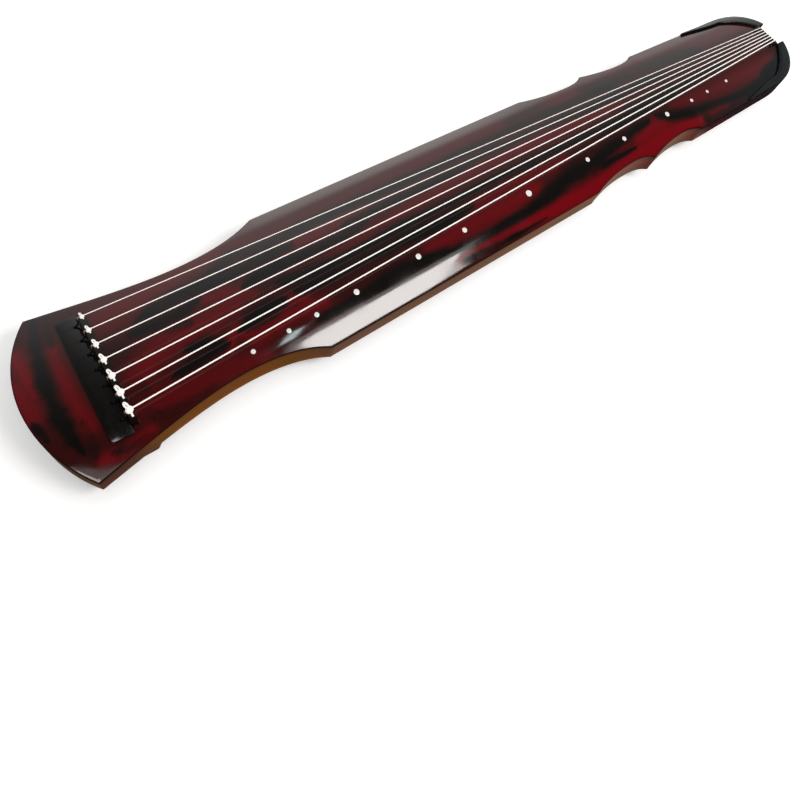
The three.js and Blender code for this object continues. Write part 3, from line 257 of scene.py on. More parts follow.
# Where the crimson shows through: how brightly, and the stroke's points likewise
GLOW_STROKES = [
    (0.66, [(-90, 22, 14), (-88, -10, 14)]),
    (0.8, [(-80, 60, 9), (-78, 36, 9), (-76, 8, 6)]),
    (0.6, [(-44, 46, 7), (-46, 10, 8), (-45, -20, 8), (-43, -50, 8)]),
    (0.8, [(-45, -86, 6), (-25, -90, 5), (8, -84, 6)]),
    (0.58, [(20, -24, 15), (60, -8, 16), (110, -8, 14), (150, 0, 14)]),
    (0.45, [(16, -58, 14), (70, -64, 14), (110, -66, 14), (150, -72, 9)]),
    (0.62, [(122, 22, 10), (150, 12, 12), (170, 0, 8)]),
    (0.66, [(118, -46, 8), (135, -30, 6), (150, -50, 10), (200, -46, 9), (240, -50, 7)]),
    (0.6, [(205, -28, 5), (222, -38, 7)]),
    (0.45, [(236, 32, 9), (300, 32, 9), (350, 36, 7)]),
    (0.42, [(230, 0, 7), (300, -2, 6), (400, 7, 8), (500, 12, 9), (600, 12, 9), (700, 8, 9),
            (780, 6, 7)]),
    (0.7, [(390, -52, 8), (450, -50, 13), (520, -50, 13), (575, -46, 10)]),
    (0.5, [(480, -32, 8), (560, -30, 8), (640, -32, 7)]),
    (0.95, [(420, -81, 6), (480, -80, 7), (560, -82, 10), (620, -84, 14), (700, -80, 14),
            (760, -74, 14), (820, -68, 14), (890, -68, 9)]),
    (0.7, [(770, -54, 12), (800, -50, 14), (824, -52, 10)]),
    (0.5, [(700, -54, 4), (760, -50, 6)]),
    (0.36, [(860, -34, 8), (950, -40, 10), (1040, -38, 14), (1090, -36, 10)]),
    (0.26, [(700, 62, 12), (860, 62, 14), (1010, 52, 16), (1090, 44, 14)]),
    (0.4, [(915, -70, 6), (960, -72, 5), (1000, -70, 5)]),
    (0.42, [(16, 56, 22), (90, 64, 14), (160, 72, 10)]),
    (0.24, [(160, 72, 10), (230, 68, 12), (300, 66, 12), (400, 66, 12), (500, 68, 10),
            (600, 66, 9)]),
]

# Beyond how many half widths a stroke ends, how its tips are drawn out, and how its glow falls
FAR_FROM_STROKE = 9.0
TIP_REACH = 1.5
TIP_WIDTH = 0.25
GLOW_FALL = 0.8

# How black the neighbourhood of a place is by itself, before the strokes
CLOUD_DEPTHS = [(-96.0, -0.2), (200.0, -0.16), (700.0, -0.144), (900.0, -0.096), (1140.0, -0.064)]
# From the first level to the second the underside's looks give way to the top's
TOP_LOOKS = (42.0, 50.0)
LEAST_CLOUD_TOP = -0.9
LEAST_CLOUD_UNDER = -0.7
UNDER_STRENGTH = 0.8
UNDER_GLOW = 0.4
# The dark line along the edge: how far in it lies, its spread, and how far down it reaches
RIM_LINE = (0.3, 0.8)
RIM_DROP = 2.5

# The room's paleness to the camera
ROOM_SEEN = 1.05

# Lights that only the lacquer mirrors: name, middle and size in metres, degrees, watts, colour
WINDOW_TURN = -5
WINDOW_COLOR = (1.0, 0.98, 0.95)
MIRRORED_LIGHTS = [
    ("head_window", (-0.95, -0.95, 2.0), 20, (0.3, 0.56), 4.0, (1.0, 0.97, 0.95)),
    ("head_veil", (-0.94, -0.95, 2.0), 20, (0.52, 0.78), 1.9, (1.0, 0.95, 0.93)),
    ("window_foot", (0.95, -1.14, 2.0), 22, (0.24, 0.34), 2.8, WINDOW_COLOR),
    ("window_veil", (0.54, -0.99, 2.0), -5, (1.06, 0.7), 5.5, WINDOW_COLOR),
    ("window_core", (0.45, -0.99, 2.0), -8, (0.5, 0.28), 3.2, WINDOW_COLOR),
    ("shoulder_lamp", (0.06, -0.48, 2.0), -20, (0.07, 0.12), 0.34, (0.8, 0.97, 1.0)),
]


# ---------------------------------------------------------------- sizes along the body


def along(stops, place):
    """A value read off a list of stops, each a place and its value."""
    return np.interp(place, [s[0] for s in stops], [s[1] for s in stops])


def top_level(place, side):
    """The level of the arched top, as if the half-moon cuts were not there."""
    share = np.asarray(side) / along(FULL_WIDTHS, place)
    return along(EDGE_LEVELS, place) + along(ARCH_HEIGHTS, place) * (1 - share * share)


def ridge_top(side):
    return float(top_level(0, side)) + RIDGE_HEIGHT


def string_sides(spread):
    return [mix(-spread, spread, i / (STRING_COUNT - 1)) for i in range(STRING_COUNT)]


def mix(a, b, share):
    return a + (b - a) * share


def swing(start, end, shares, count):
    """Points of a cubic curve whose handles lie at shares of its run and change in width."""
    handles = [tuple(mix(start[k], end[k], pair[k]) for k in (0, 1)) for pair in shares]
    t = np.linspace(0, 1, count)[:, None]
    a, b, c, d = (np.array(p, float) for p in (start, *handles, end))
    return a * (1 - t) ** 3 + 3 * b * t * (1 - t) ** 2 + 3 * c * t * t * (1 - t) + d * t**3


def smoothed(points, steps):
    """A rounded line through the points, ends kept."""
    points = np.asarray(points, float)
    padded = np.concatenate([[2 * points[0] - points[1]], points, [2 * points[-1] - points[-2]]])
    line = [
        0.5 * (2 * b + (c - a) * t + (2 * a - 5 * b + 4 * c - d) * t * t
               + (3 * b - a - 3 * c + d) * t**3)
        for a, b, c, d in zip(padded, padded[1:], padded[2:], padded[3:])
        for t in np.linspace(0, 1, steps, endpoint=False)
    ]
    return np.array([*line, points[-1]])


def at_shares(line, shares):
    """Points of a line at shares of its length."""
    runs = np.concatenate([[0], np.cumsum(np.linalg.norm(np.diff(line, axis=0), axis=1))])
    return np.stack([np.interp(shares * runs[-1], runs, column) for column in line.T], 1)


def respaced(line, spacing):
    """The same line with its points at equal distances, ends kept."""
    run = np.linalg.norm(np.diff(line, axis=0), axis=1).sum()
    return at_shares(line, np.linspace(0, 1, max(round(run / spacing), 1) + 1))


def half_plan(spacing):
    """Half of the body's plan, from the head apex round the far side to the tail."""
    back = HEAD_CORNER[0] - HEAD_PLACE
    radius = (HEAD_CORNER[1] ** 2 + back**2) / (2 * back)
    turn = np.linspace(0, math.asin(HEAD_CORNER[1] / radius), CURVE_STEPS)
    pieces = [np.stack([HEAD_PLACE + radius * (1 - np.cos(turn)), radius * np.sin(turn)], 1)]
    for (start, _), (end, shares) in zip(PLAN_STOPS, PLAN_STOPS[1:]):
        straight = np.array([start, end])
        pieces.append(swing(start, end, shares, CURVE_STEPS) if shares else straight)
    rows = [respaced(piece, spacing)[:-1] for piece in pieces]
    return np.concatenate([*rows, [PLAN_STOPS[-1][0]]])


def whole_plan(half):
    """The closed plan, anticlockwise, from the head apex along the near side and back."""
    return np.concatenate([half * (1, -1), half[1:-1][::-1]])


def mitres(arriving, leaving, least=0.0):
    """At each corner, the way leftwards that moves both its sides by one."""
    arriving, leaving = (v / np.linalg.norm(v, axis=1)[:, None] for v in (arriving, leaving))
    left = (arriving + leaving)[:, ::-1] * (-1, 1)
    left /= np.linalg.norm(left, axis=1)[:, None]
    square = leaving[:, ::-1] * (-1, 1)
    return left / np.maximum((left * square).sum(1), least)[:, None]


def inward_normals(plan):
    """At each point of a closed plan, the way that moves both its sides inwards by one."""
    return mitres(plan - np.roll(plan, 1, 0), np.roll(plan, -1, 0) - plan, SHARPEST_MITRE)


def moved_out(line, distance):
    """A line in place and level moved outwards, its corners kept."""
    runs = np.diff(line, axis=0)
    arriving, leaving = np.concatenate([runs[:1], runs]), np.concatenate([runs, runs[-1:]])
    return line + distance * mitres(arriving, leaving)


def quarter_turn(steps):
    """Shares of inset and of rise round a quarter of a circle, from upright to level."""
    turn = np.linspace(0, math.pi / 2, steps + 1)
    return list(zip(1 - np.cos(turn), np.sin(turn)))


# ---------------------------------------------------------------- meshes


def in_frame(points):
    """Points in millimetres moved into the frame's metres."""
    return (np.asarray(points, float) - (CENTRE_PLACE, 0, 0)) * MM


def linked(name, data):
    """An object of the data, linked into the scene."""
    piece = bpy.data.objects.new(name, data)
    bpy.context.scene.collection.objects.link(piece)
    return piece


def at_level(flat, level):
    return np.column_stack([flat, np.broadcast_to(level, len(flat))])


def ring(radius, place, side, steps):
    turn = np.linspace(0, 2 * math.pi, steps, endpoint=False)
    return np.column_stack([place + radius * np.cos(turn), side + radius * np.sin(turn)])


def turned(profile, place, side, steps):
    """Rows of points of a profile in radius and level, turned round an upright axis."""
    return [at_level(ring(radius, place, side, steps), level) for radius, level in profile]


def row_faces(rows, across):
    """Quads between rows of points, each row round on itself and joined to the next."""
    return [
        (r * across + i, r * across + (i + 1) % across,
         (r + 1) * across + (i + 1) % across, (r + 1) * across + i)
        for r in range(rows - 1)
        for i in range(across)
    ]


def piece_from_points(name, points, faces):
    """A mesh object from points in millimetres: doubled points joined, faces turned outwards."""
    mesh = bpy.data.meshes.new(name)
    mesh.from_pydata(in_frame(points).tolist(), [], faces)
    shape = bmesh.new()
    shape.from_mesh(mesh)
    bmesh.ops.remove_doubles(shape, verts=shape.verts, dist=SAME_POINT)
    bmesh.ops.dissolve_degenerate(shape, edges=shape.edges, dist=SAME_POINT)
    bmesh.ops.recalc_face_normals(shape, faces=shape.faces)
    shape.to_mesh(mesh)
    shape.free()
    return linked(name, mesh)


def piece_from_rows(name, rows, flat_ends=False):
    """A body from rows of points, each row round on itself, open or with flat ends."""
    count, last = len(rows[0]), (len(rows) - 1) * len(rows[0])
    ends = [tuple(range(count)), tuple(range(last, last + count))] if flat_ends else []
    return piece_from_points(name, np.concatenate(rows), row_faces(len(rows), count) + ends)


def piece_from_plan(name, plan, low, high):
    """A plan shape raised from one level to another."""
    return piece_from_rows(name, [at_level(plan, level) for level in (low, high)], True)


def piece_across(name, profile, half_width):
    """A profile in place and level, drawn out to both sides."""
    ends = [np.insert(np.array(profile, float), 1, side, 1) for side in (-half_width, half_width)]
    return piece_from_rows(name, ends, True)


def baked(piece):
    """The piece with its modifiers worked out, as a plain mesh."""
    shown = piece.evaluated_get(bpy.context.evaluated_depsgraph_get())
    mesh = bpy.data.meshes.new_from_object(shown)
    plain = linked(piece.name + "_made", mesh)
    name = piece.name
    bpy.data.objects.remove(piece)
    plain.name = name
    mesh.name = name
    return plain


def carved(piece, cutters):
    """The piece less the cutters, which are used up."""
    for cutter in cutters:
        cut = piece.modifiers.new("cut", "BOOLEAN")
        cut.operation = "DIFFERENCE"
        cut.solver = "MANIFOLD"
        cut.object = cutter
    made = baked(piece)
    for cutter in cutters:
        bpy.data.objects.remove(cutter)
    if not made.data.polygons:
        raise RuntimeError(f"nothing is left of {made.name} after its cuts")
    return made


def eased(piece, width, steps=3, angle=50):
    """The piece with its edges rounded over, where they turn by more than the angle."""
    bevel = piece.modifiers.new("ease", "BEVEL")
    bevel.width = width * MM
    bevel.segments = steps
    bevel.limit_method = "ANGLE"
    bevel.angle_limit = math.radians(angle)
    bevel.harden_normals = False
    return baked(piece)


def finished(piece, material, nodes, sharp=35, body=INSTRUMENT):
    """Gives a piece its shading and material, hangs it under its body, and hides the CAD parts that
    it stands for.
    """
    piece.data.shade_smooth()
    piece.data.set_sharp_from_angle(angle=math.radians(sharp))
    if material.name not in piece.data.materials:
        piece.data.materials.clear()
        piece.data.materials.append(material)
    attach(piece, body)
    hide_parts(*nodes)


def set_point_value(mesh, name, values):
    """A named value on each point, for the material to read."""
    layer = mesh.attributes.new(name, "FLOAT", "POINT")
    layer.data.foreach_set("value", np.asarray(values, np.float32))


def points_of(mesh):
    """The mesh's points in millimetres: place, side and level."""
    flat = np.zeros(3 * len(mesh.vertices))
    mesh.vertices.foreach_get("co", flat)
    return flat.reshape(-1, 3) / MM + (CENTRE_PLACE, 0, 0)


# ---------------------------------------------------------------- node trees


def once(library, name):
    """Lets a maker hand out the data-block of that name again, once it has made it."""

    def wrap(maker):
        return lambda *given: getattr(bpy.data, library).get(name) or maker(name, *given)

    return wrap


def plug(tree, socket, value):
    """Gives a socket its value, or a link from another socket; a colour is opaque."""
    if isinstance(value, bpy.types.NodeSocket):
        tree.links.new(value, socket)
    else:
        socket.default_value = (*value, 1) if socket.type == "RGBA" else value


def add(tree, kind, settings=None, **inputs):
    """A node with its settings, its inputs filled by name, or by number after an underscore."""
    made = tree.nodes.new(kind)
    for name, value in (settings or {}).items():
        setattr(made, name, value)
    for name, value in inputs.items():
        key = int(name[1:]) if name[0] == "_" else name.replace("_", " ")
        plug(tree, made.inputs[key], value)
    return made


def maths(tree, operation, *values, clamp=False):
    made = add(tree, "ShaderNodeMath", {"operation": operation, "use_clamp": clamp})
    for socket, value in zip(made.inputs, values):
        plug(tree, socket, value)
    return made.outputs[0]


def vector_maths(tree, operation, **inputs):
    return add(tree, "ShaderNodeVectorMath", {"operation": operation}, **inputs).outputs


def ranged(tree, value, low, high, to_low=0.0, to_high=1.0):
    """A soft step from one value to another as the given one goes from low to high."""
    made = add(
        tree, "ShaderNodeMapRange", {"interpolation_type": "SMOOTHSTEP"},
        Value=value, From_Min=low, From_Max=high, To_Min=to_low, To_Max=to_high)
    return made.outputs["Result"]


def stretched(tree, vector, size):
    return vector_maths(tree, "MULTIPLY", _0=vector, _1=size)[0]


def noise(tree, vector, scale, detail, roughness):
    """Noise at one scale, or at one for each direction."""
    if isinstance(scale, tuple):
        vector, scale = stretched(tree, vector, scale), 1.0
    made = add(
        tree, "ShaderNodeTexNoise",
        Vector=vector, Scale=scale, Detail=detail, Roughness=roughness)
    return made.outputs["Fac"]


def blended(tree, share, a, b):
    return add(tree, "ShaderNodeMix", {"data_type": "RGBA"}, _0=share, _6=a, _7=b).outputs[2]


def apart(tree, vector):
    return add(tree, "ShaderNodeSeparateXYZ", _0=vector).outputs


def new_tree(name, kind, inputs, outputs):
    """A node group, its inputs given as (name, kind, default) and its outputs as (name, kind)."""
    tree = bpy.data.node_groups.new(name, kind)
    for socket, sort, default in inputs:
        made = tree.interface.new_socket(socket, in_out="INPUT", socket_type="NodeSocket" + sort)
        if default is not None:
            made.default_value = (*default, 1) if sort == "Color" else default
    for socket, sort in outputs:
        tree.interface.new_socket(socket, in_out="OUTPUT", socket_type="NodeSocket" + sort)
    given, out = tree.nodes.new("NodeGroupInput"), tree.nodes.new("NodeGroupOutput")
    return tree, given.outputs, out.inputs


# ---------------------------------------------------------------- materials

SURFACE = [("Color", "Color"), ("Roughness", "Float"), ("Height", "Float")]


def leave(tree, out, **values):
    """Passes a group's results out of it, and gives the group."""
    for name, value in values.items():
        tree.links.new(value, out[name])
    return tree


@once("node_groups", "clouded_lacquer")
def lacquer_group(name):
    """Crimson and black lacquer laid in clouds, from a stroke value and drifting noise."""
    tree, given, out = new_tree(name, "ShaderNodeTree", [
        ("Vector", "Vector", None), ("Cloud", "Float", 0.0), ("Glow", "Float", 0.0),
        ("Rim", "Float", 0.0), ("Crimson", "Color", (0.12, 0.004, 0.007)),
        ("Deep Red", "Color", (0.05, 0.004, 0.005)), ("Black", "Color", (0.003, 0.003, 0.003)),
        ("Raggedness", "Float", 0.6),
    ], SURFACE)
    vector, ragged, deep, black = (
        given[part] for part in ("Vector", "Raggedness", "Deep Red", "Black"))
    drift = noise(tree, vector, (13.0, 46.0, 30.0), 5.0, 0.6)
    fleck = noise(tree, vector, (60.0, 190.0, 120.0), 3.0, 0.6)
    wide = noise(tree, vector, (3.2, 13.0, 9.0), 2.0, 0.5)
    drifted = maths(tree, "MULTIPLY_ADD", drift, ragged, given["Cloud"])
    flecked = maths(tree, "MULTIPLY_ADD", fleck, 0.5, drifted)
    middle = maths(tree, "MULTIPLY_ADD", ragged, -0.5, -0.25)
    level = maths(tree, "ADD", flecked, middle)
    patchy = ranged(tree, wide, 0.3, 0.7, 0.72, 1.14)
    uneven = maths(tree, "ADD", patchy, maths(tree, "MULTIPLY", fleck, 0.2))
    glow = maths(tree, "MULTIPLY", given["Glow"], uneven, clamp=True)
    color = blended(tree, glow, deep, given["Crimson"])
    haze = ranged(tree, level, -0.8, 0.1, 0.0, 0.5)
    cloud = ranged(tree, level, -0.55, 0.6)
    for share, over in ((haze, deep), (cloud, black), (given["Rim"], black)):
        color = blended(tree, share, color, over)
    rub = noise(tree, vector, 26.0, 3.0, 0.6)
    swell = noise(tree, vector, (26.0, 60.0, 60.0), 2.0, 0.45)
    grit = noise(tree, vector, 900.0, 2.0, 0.5)
    return leave(
        tree, out, Color=color, Roughness=ranged(tree, rub, 0.3, 0.75, 0.055, 0.1),
        Height=maths(tree, "MULTIPLY_ADD", grit, 0.05, swell))


@once("node_groups", "dark_hardwood")
def wood_group(name):
    """Close wood: pores drawn out along the grain, with a paler cast between them."""
    tree, given, out = new_tree(name, "ShaderNodeTree", [
        ("Vector", "Vector", None), ("Dark", "Color", (0.006, 0.005, 0.005)),
        ("Light", "Color", (0.016, 0.011, 0.009)), ("Polish", "Float", 0.22),
    ], SURFACE)
    grain = noise(tree, given["Vector"], (220.0, 26.0, 240.0), 4.0, 0.6)
    pores = noise(tree, given["Vector"], (1500.0, 120.0, 1500.0), 2.0, 0.5)
    pits = ranged(tree, pores, 0.6, 0.74)
    tone = blended(tree, ranged(tree, grain, 0.35, 0.7), given["Dark"], given["Light"])
    rough = maths(tree, "MULTIPLY_ADD", grain, 0.12, given["Polish"])
    return leave(
        tree, out, Color=blended(tree, pits, tone, given["Dark"]),
        Roughness=maths(tree, "MULTIPLY_ADD", pits, 0.15, rough),
        Height=maths(tree, "MULTIPLY_ADD", pits, -1.0, 1.0))


@once("node_groups", "twisted_lay")
def lay_group(name):
    """The fine spiral of wrapped thread, from how far along and how far round a line it is."""
    tree, given, out = new_tree(
        name, "ShaderNodeTree",
        [("UV", "Vector", None), ("Pitch", "Float", 0.0012), ("Threads", "Float", 2.0)],
        [("Height", "Float"), ("Groove", "Float")])
    parts = apart(tree, given["UV"])
    turns = maths(tree, "DIVIDE", parts["X"], given["Pitch"])
    around = maths(tree, "MULTIPLY_ADD", parts["Y"], given["Threads"], turns)
    wave = maths(tree, "SINE", maths(tree, "MULTIPLY", around, 2 * math.pi))
    height = maths(tree, "MULTIPLY_ADD", wave, 0.5, 0.5)
    return leave(tree, out, Height=height, Groove=ranged(tree, height, 0.0, 0.35, 1.0, 0.0))


@once("node_groups", "pearly_shell")
def shell_group(name):
    """Mother-of-pearl: pale layers with a drifting pink and green cast."""
    tree, given, out = new_tree(
        name, "ShaderNodeTree",
        [("Vector", "Vector", None), ("Base", "Color", (0.86, 0.83, 0.8))], SURFACE)
    layer = noise(tree, given["Vector"], (260.0, 640.0, 260.0), 3.0, 0.6)
    cast = noise(tree, given["Vector"], 150.0, 2.0, 0.5)
    color = given["Base"]
    for share, over in (
        (ranged(tree, cast, 0.42, 0.62), (0.9, 0.74, 0.76)),
        (ranged(tree, cast, 0.5, 0.34), (0.76, 0.88, 0.82)),
        (ranged(tree, layer, 0.35, 0.7, 0.0, 0.25), (0.62, 0.6, 0.6)),
    ):
        color = blended(tree, share, color, over)
    return leave(
        tree, out, Color=color, Roughness=ranged(tree, layer, 0.2, 0.8, 0.12, 0.3), Height=layer)


def new_material(name):
    """A material with its tree and principled shader, and the object's own coordinates."""
    material = bpy.data.materials.new(name)
    material.use_nodes = True
    tree = material.node_tree
    place = add(tree, "ShaderNodeTexCoord").outputs["Object"]
    return material, tree, tree.nodes["Principled BSDF"].inputs, place


def bump(tree, shader, height, strength, depth):
    """Raises the surface by a height in shares of a depth in millimetres."""
    made = add(tree, "ShaderNodeBump", Height=height, Strength=strength, Distance=depth * MM)
    tree.links.new(made.outputs["Normal"], shader["Normal"])


def dress(tree, shader, group, strength, depth, **inputs):
    """Gives the shader a group's colour, roughness and relief."""
    made = add(tree, "ShaderNodeGroup", {"node_tree": group}, **inputs).outputs
    tree.links.new(made["Color"], shader["Base Color"])
    tree.links.new(made["Roughness"], shader["Roughness"])
    bump(tree, shader, made["Height"], strength, depth)


@once("materials", "clouded_lacquer")
def lacquer_material(name, settings):
    material, tree, shader, place = new_material(name)
    carried = {
        part.capitalize(): add(tree, "ShaderNodeAttribute", {"attribute_name": part}).outputs["Fac"]
        for part in ("cloud", "glow", "rim")
    }
    dress(
        tree, shader, lacquer_group(), 0.25, 0.12, Vector=place, **carried,
        Crimson=settings.crimson, Deep_Red=settings.deep_red, Black=settings.black,
        Raggedness=settings.raggedness)
    return material


def wood_material(name, dark, light, polish, strength, depth=0.06, grain=None):
    """Wood from its dark and light tone; the grain can be stretched along each direction."""
    material, tree, shader, place = new_material(name)
    vector = stretched(tree, place, grain) if grain else place
    dress(
        tree, shader, wood_group(), strength, depth,
        Vector=vector, Dark=dark, Light=light, Polish=polish)
    return material


@once("materials", "planed_wood")
def bare_wood(name):
    dark, light, grain = (0.17, 0.085, 0.038), (0.34, 0.2, 0.1), (0.12, 1.4, 0.5)
    return wood_material(name, dark, light, 0.5, 0.3, 0.1, grain)


@once("materials", "ebony")
def ebony(name):
    return wood_material(name, (0.0048, 0.0042, 0.0038), (0.0075, 0.006, 0.0052), 0.09, 0.05)


@once("materials", "crown_lacquer")
def crown_lacquer(name):
    return wood_material(name, (0.006, 0.0075, 0.0085), (0.009, 0.0105, 0.0115), 0.1, 0.1)


@once("materials", "peg_wood")
def peg_wood(name):
    return wood_material(name, (0.0075, 0.0055, 0.0048), (0.024, 0.015, 0.011), 0.26, 0.3)


def thread_material(name, color, shadow, pitch, roughness, strength, painted_glow=0.0):
    """Wrapped or laid thread, read off the piece's own map of along and around, with painted shade
    in the grooves of its lay and, if asked, a painted glow of its own colour.
    """
    material, tree, shader, place = new_material(name)
    lay = add(tree, "ShaderNodeUVMap", {"uv_map": "lay"})
    made = add(
        tree, "ShaderNodeGroup", {"node_tree": lay_group()},
        UV=lay.outputs["UV"], Pitch=pitch * MM, Threads=1.0).outputs
    wear = noise(tree, place, 90.0, 3.0, 0.6)
    # The darker colour serves twice: as a random tone of wear, and as painted shade in the grooves
    # between the turns
    tint = blended(tree, ranged(tree, wear, 0.35, 0.75, 0.0, 0.35), color, shadow)
    tone = blended(tree, maths(tree, "MULTIPLY", made["Groove"], 0.6), tint, shadow)
    tree.links.new(tone, shader["Base Color"])
    worn = ranged(tree, wear, 0.2, 0.8, roughness, roughness + 0.15)
    tree.links.new(worn, shader["Roughness"])
    bump(tree, shader, made["Height"], strength, 0.08)
    # Painted glow: the thread gives off light in its own colour, as strongly as asked
    plug(tree, shader["Emission Color"], color)
    plug(tree, shader["Emission Strength"], painted_glow)
    return material


@once("materials", "twisted_silk")
def silk(name):
    """Silk cord, painted near-black as shade up to the back of the ridge, and in its own pale tone
    where it comes over the top.
    """
    material = thread_material(name, (0.36, 0.23, 0.2), (0.1, 0.035, 0.03), 0.5, 0.75, 0.5)
    tree = material.node_tree
    color = tree.nodes["Principled BSDF"].inputs["Base Color"]
    across = apart(tree, add(tree, "ShaderNodeTexCoord").outputs["Object"])["X"]
    # Painted shade: near-black behind the ridge's back, then the cord's own tone from just before
    # the top onwards
    foot, top = (
        (-RIDGE_BACK - before - CENTRE_PLACE) * MM for before in (1.1, 0.1))
    shaded = ranged(tree, across, foot, top)
    rubbed = color.links[0].from_socket
    tree.links.new(blended(tree, shaded, (0.007, 0.0035, 0.0035), rubbed), color)
    return material


# Pale strings, with a darker tone for wear and painted shade in the grooves, and a little painted
# glow
@once("materials", "string_white")
def string_white(name):
    return thread_material(name, (0.95, 0.9, 0.86), (0.8, 0.72, 0.66), 0.55, 0.35, 0.2, 0.3)


@once("materials", "pearly_shell")
def pearly_shell(name):
    material, tree, shader, place = new_material(name)
    dress(tree, shader, shell_group(), 0.15, 0.05, Vector=place)
    return material


# ---------------------------------------------------------------- geometry node trees


def shape_tree(name, inputs):
    shape = ("Geometry", "Geometry")
    return new_tree(name, "GeometryNodeTree", [(*shape, None), *inputs], [shape])


def run_tree(piece, tree, **inputs):
    """Runs a geometry tree on a piece and keeps what it makes as a plain mesh."""
    named = {
        item.name: item.identifier
        for item in tree.interface.items_tree
        if item.item_type == "SOCKET" and item.in_out == "INPUT"
    }
    modifier = piece.modifiers.new(tree.name, "NODES")
    modifier.node_group = tree
    for name, value in inputs.items():
        modifier[named[name]] = value
    return baked(piece)


def store(tree, geometry, name, value, kind="FLOAT", domain="POINT"):
    made = add(
        tree, "GeometryNodeStoreNamedAttribute", {"data_type": kind, "domain": domain},
        Geometry=geometry, Name=name, Value=value)
    return made.outputs["Geometry"]


def stored(tree, name):
    made = add(tree, "GeometryNodeInputNamedAttribute", {"data_type": "FLOAT"}, Name=name)
    return made.outputs["Attribute"]


def circle(tree, sides):
    made = add(
        tree, "GeometryNodeCurvePrimitiveCircle", {"mode": "RADIUS"}, Resolution=sides, Radius=1.0)
    return made.outputs["Curve"]


def tube(tree, rail, profile, size):
    made = add(
        tree, "GeometryNodeCurveToMesh",
        Curve=rail, Profile_Curve=profile, Scale=size, Fill_Caps=True)
    return made.outputs["Mesh"]


def painted(tree, geometry, material):
    """The geometry made real, in its material."""
    real = add(tree, "GeometryNodeRealizeInstances", _0=geometry).outputs[0]
    made = add(tree, "GeometryNodeSetMaterial", Geometry=real, Material=material)
    return made.outputs["Geometry"]


def sweep(tree, rail, radius, given):
    """A tube swept along a rail, with a map of how far along and how far round it each face is."""
    parameter = add(tree, "GeometryNodeSplineParameter").outputs
    rail = store(tree, rail, "lay_along", parameter["Length"])
    profile = store(tree, circle(tree, given["Sides"]), "lay_around", parameter["Factor"])
    made = tube(tree, rail, profile, radius)
    around = stored(tree, "lay_around")
    on_face = add(
        tree, "GeometryNodeFieldOnDomain", {"data_type": "FLOAT", "domain": "FACE"}, _0=around)
    at_start = maths(tree, "LESS_THAN", around, 1e-4)
    at_seam = maths(tree, "GREATER_THAN", on_face.outputs[0], 0.25)
    wrapped = maths(tree, "MULTIPLY_ADD", at_start, at_seam, around)
    pair = add(tree, "ShaderNodeCombineXYZ", X=stored(tree, "lay_along"), Y=wrapped)
    mapped = store(tree, made, "lay", pair.outputs[0], "FLOAT2", "CORNER")
    return painted(tree, mapped, given["Material"])


@once("node_groups", "wrapped_line")
def wrapped_line_tree(name):
    """A round line along the piece's curve, as thick as the curve's own radius says."""
    tree, given, out = shape_tree(name, [("Sides", "Int", 10), ("Material", "Material", None)])
    radius = add(tree, "GeometryNodeInputRadius").outputs[0]
    return leave(tree, out, Geometry=sweep(tree, given["Geometry"], radius, given))


@once("node_groups", "laid_cord")
def laid_cord_tree(name):
    """A cord of strands twisted round each other along the piece's curve."""
    tree, given, out = shape_tree(name, [
        ("Strands", "Int", 3), ("Radius", "Float", 0.001), ("Pitch", "Float", 0.006),
        ("Spacing", "Float", 0.0004), ("Sides", "Int", 8), ("Material", "Material", None),
    ])
    spaced = add(
        tree, "GeometryNodeResampleCurve", {"mode": "LENGTH"},
        Curve=given["Geometry"], Length=given["Spacing"])
    copies = add(
        tree, "GeometryNodeDuplicateElements", {"domain": "SPLINE"},
        Geometry=spaced.outputs["Curve"], Amount=given["Strands"]).outputs
    along_it = add(tree, "GeometryNodeSplineParameter").outputs["Length"]
    turns = maths(tree, "DIVIDE", along_it, given["Pitch"])
    strand = maths(tree, "DIVIDE", copies["Duplicate Index"], given["Strands"])
    angle = maths(tree, "MULTIPLY", maths(tree, "ADD", turns, strand), 2 * math.pi)
    normal = add(tree, "GeometryNodeInputNormal").outputs["Normal"]
    tangent = add(tree, "GeometryNodeInputTangent").outputs[0]
    binormal = vector_maths(tree, "CROSS_PRODUCT", _0=tangent, _1=normal)[0]
    reach = maths(tree, "MULTIPLY", given["Radius"], 0.52)
    across, over = (
        vector_maths(
            tree, "SCALE", _0=way,
            Scale=maths(tree, "MULTIPLY", maths(tree, operation, angle), reach))[0]
        for way, operation in ((normal, "COSINE"), (binormal, "SINE"))
    )
    offset = vector_maths(tree, "ADD", _0=across, _1=over)[0]
    moved = add(tree, "GeometryNodeSetPosition", Geometry=copies["Geometry"], Offset=offset)
    thickness = maths(tree, "MULTIPLY", given["Radius"], 0.53)
    return leave(tree, out, Geometry=sweep(tree, moved.outputs["Geometry"], thickness, given))


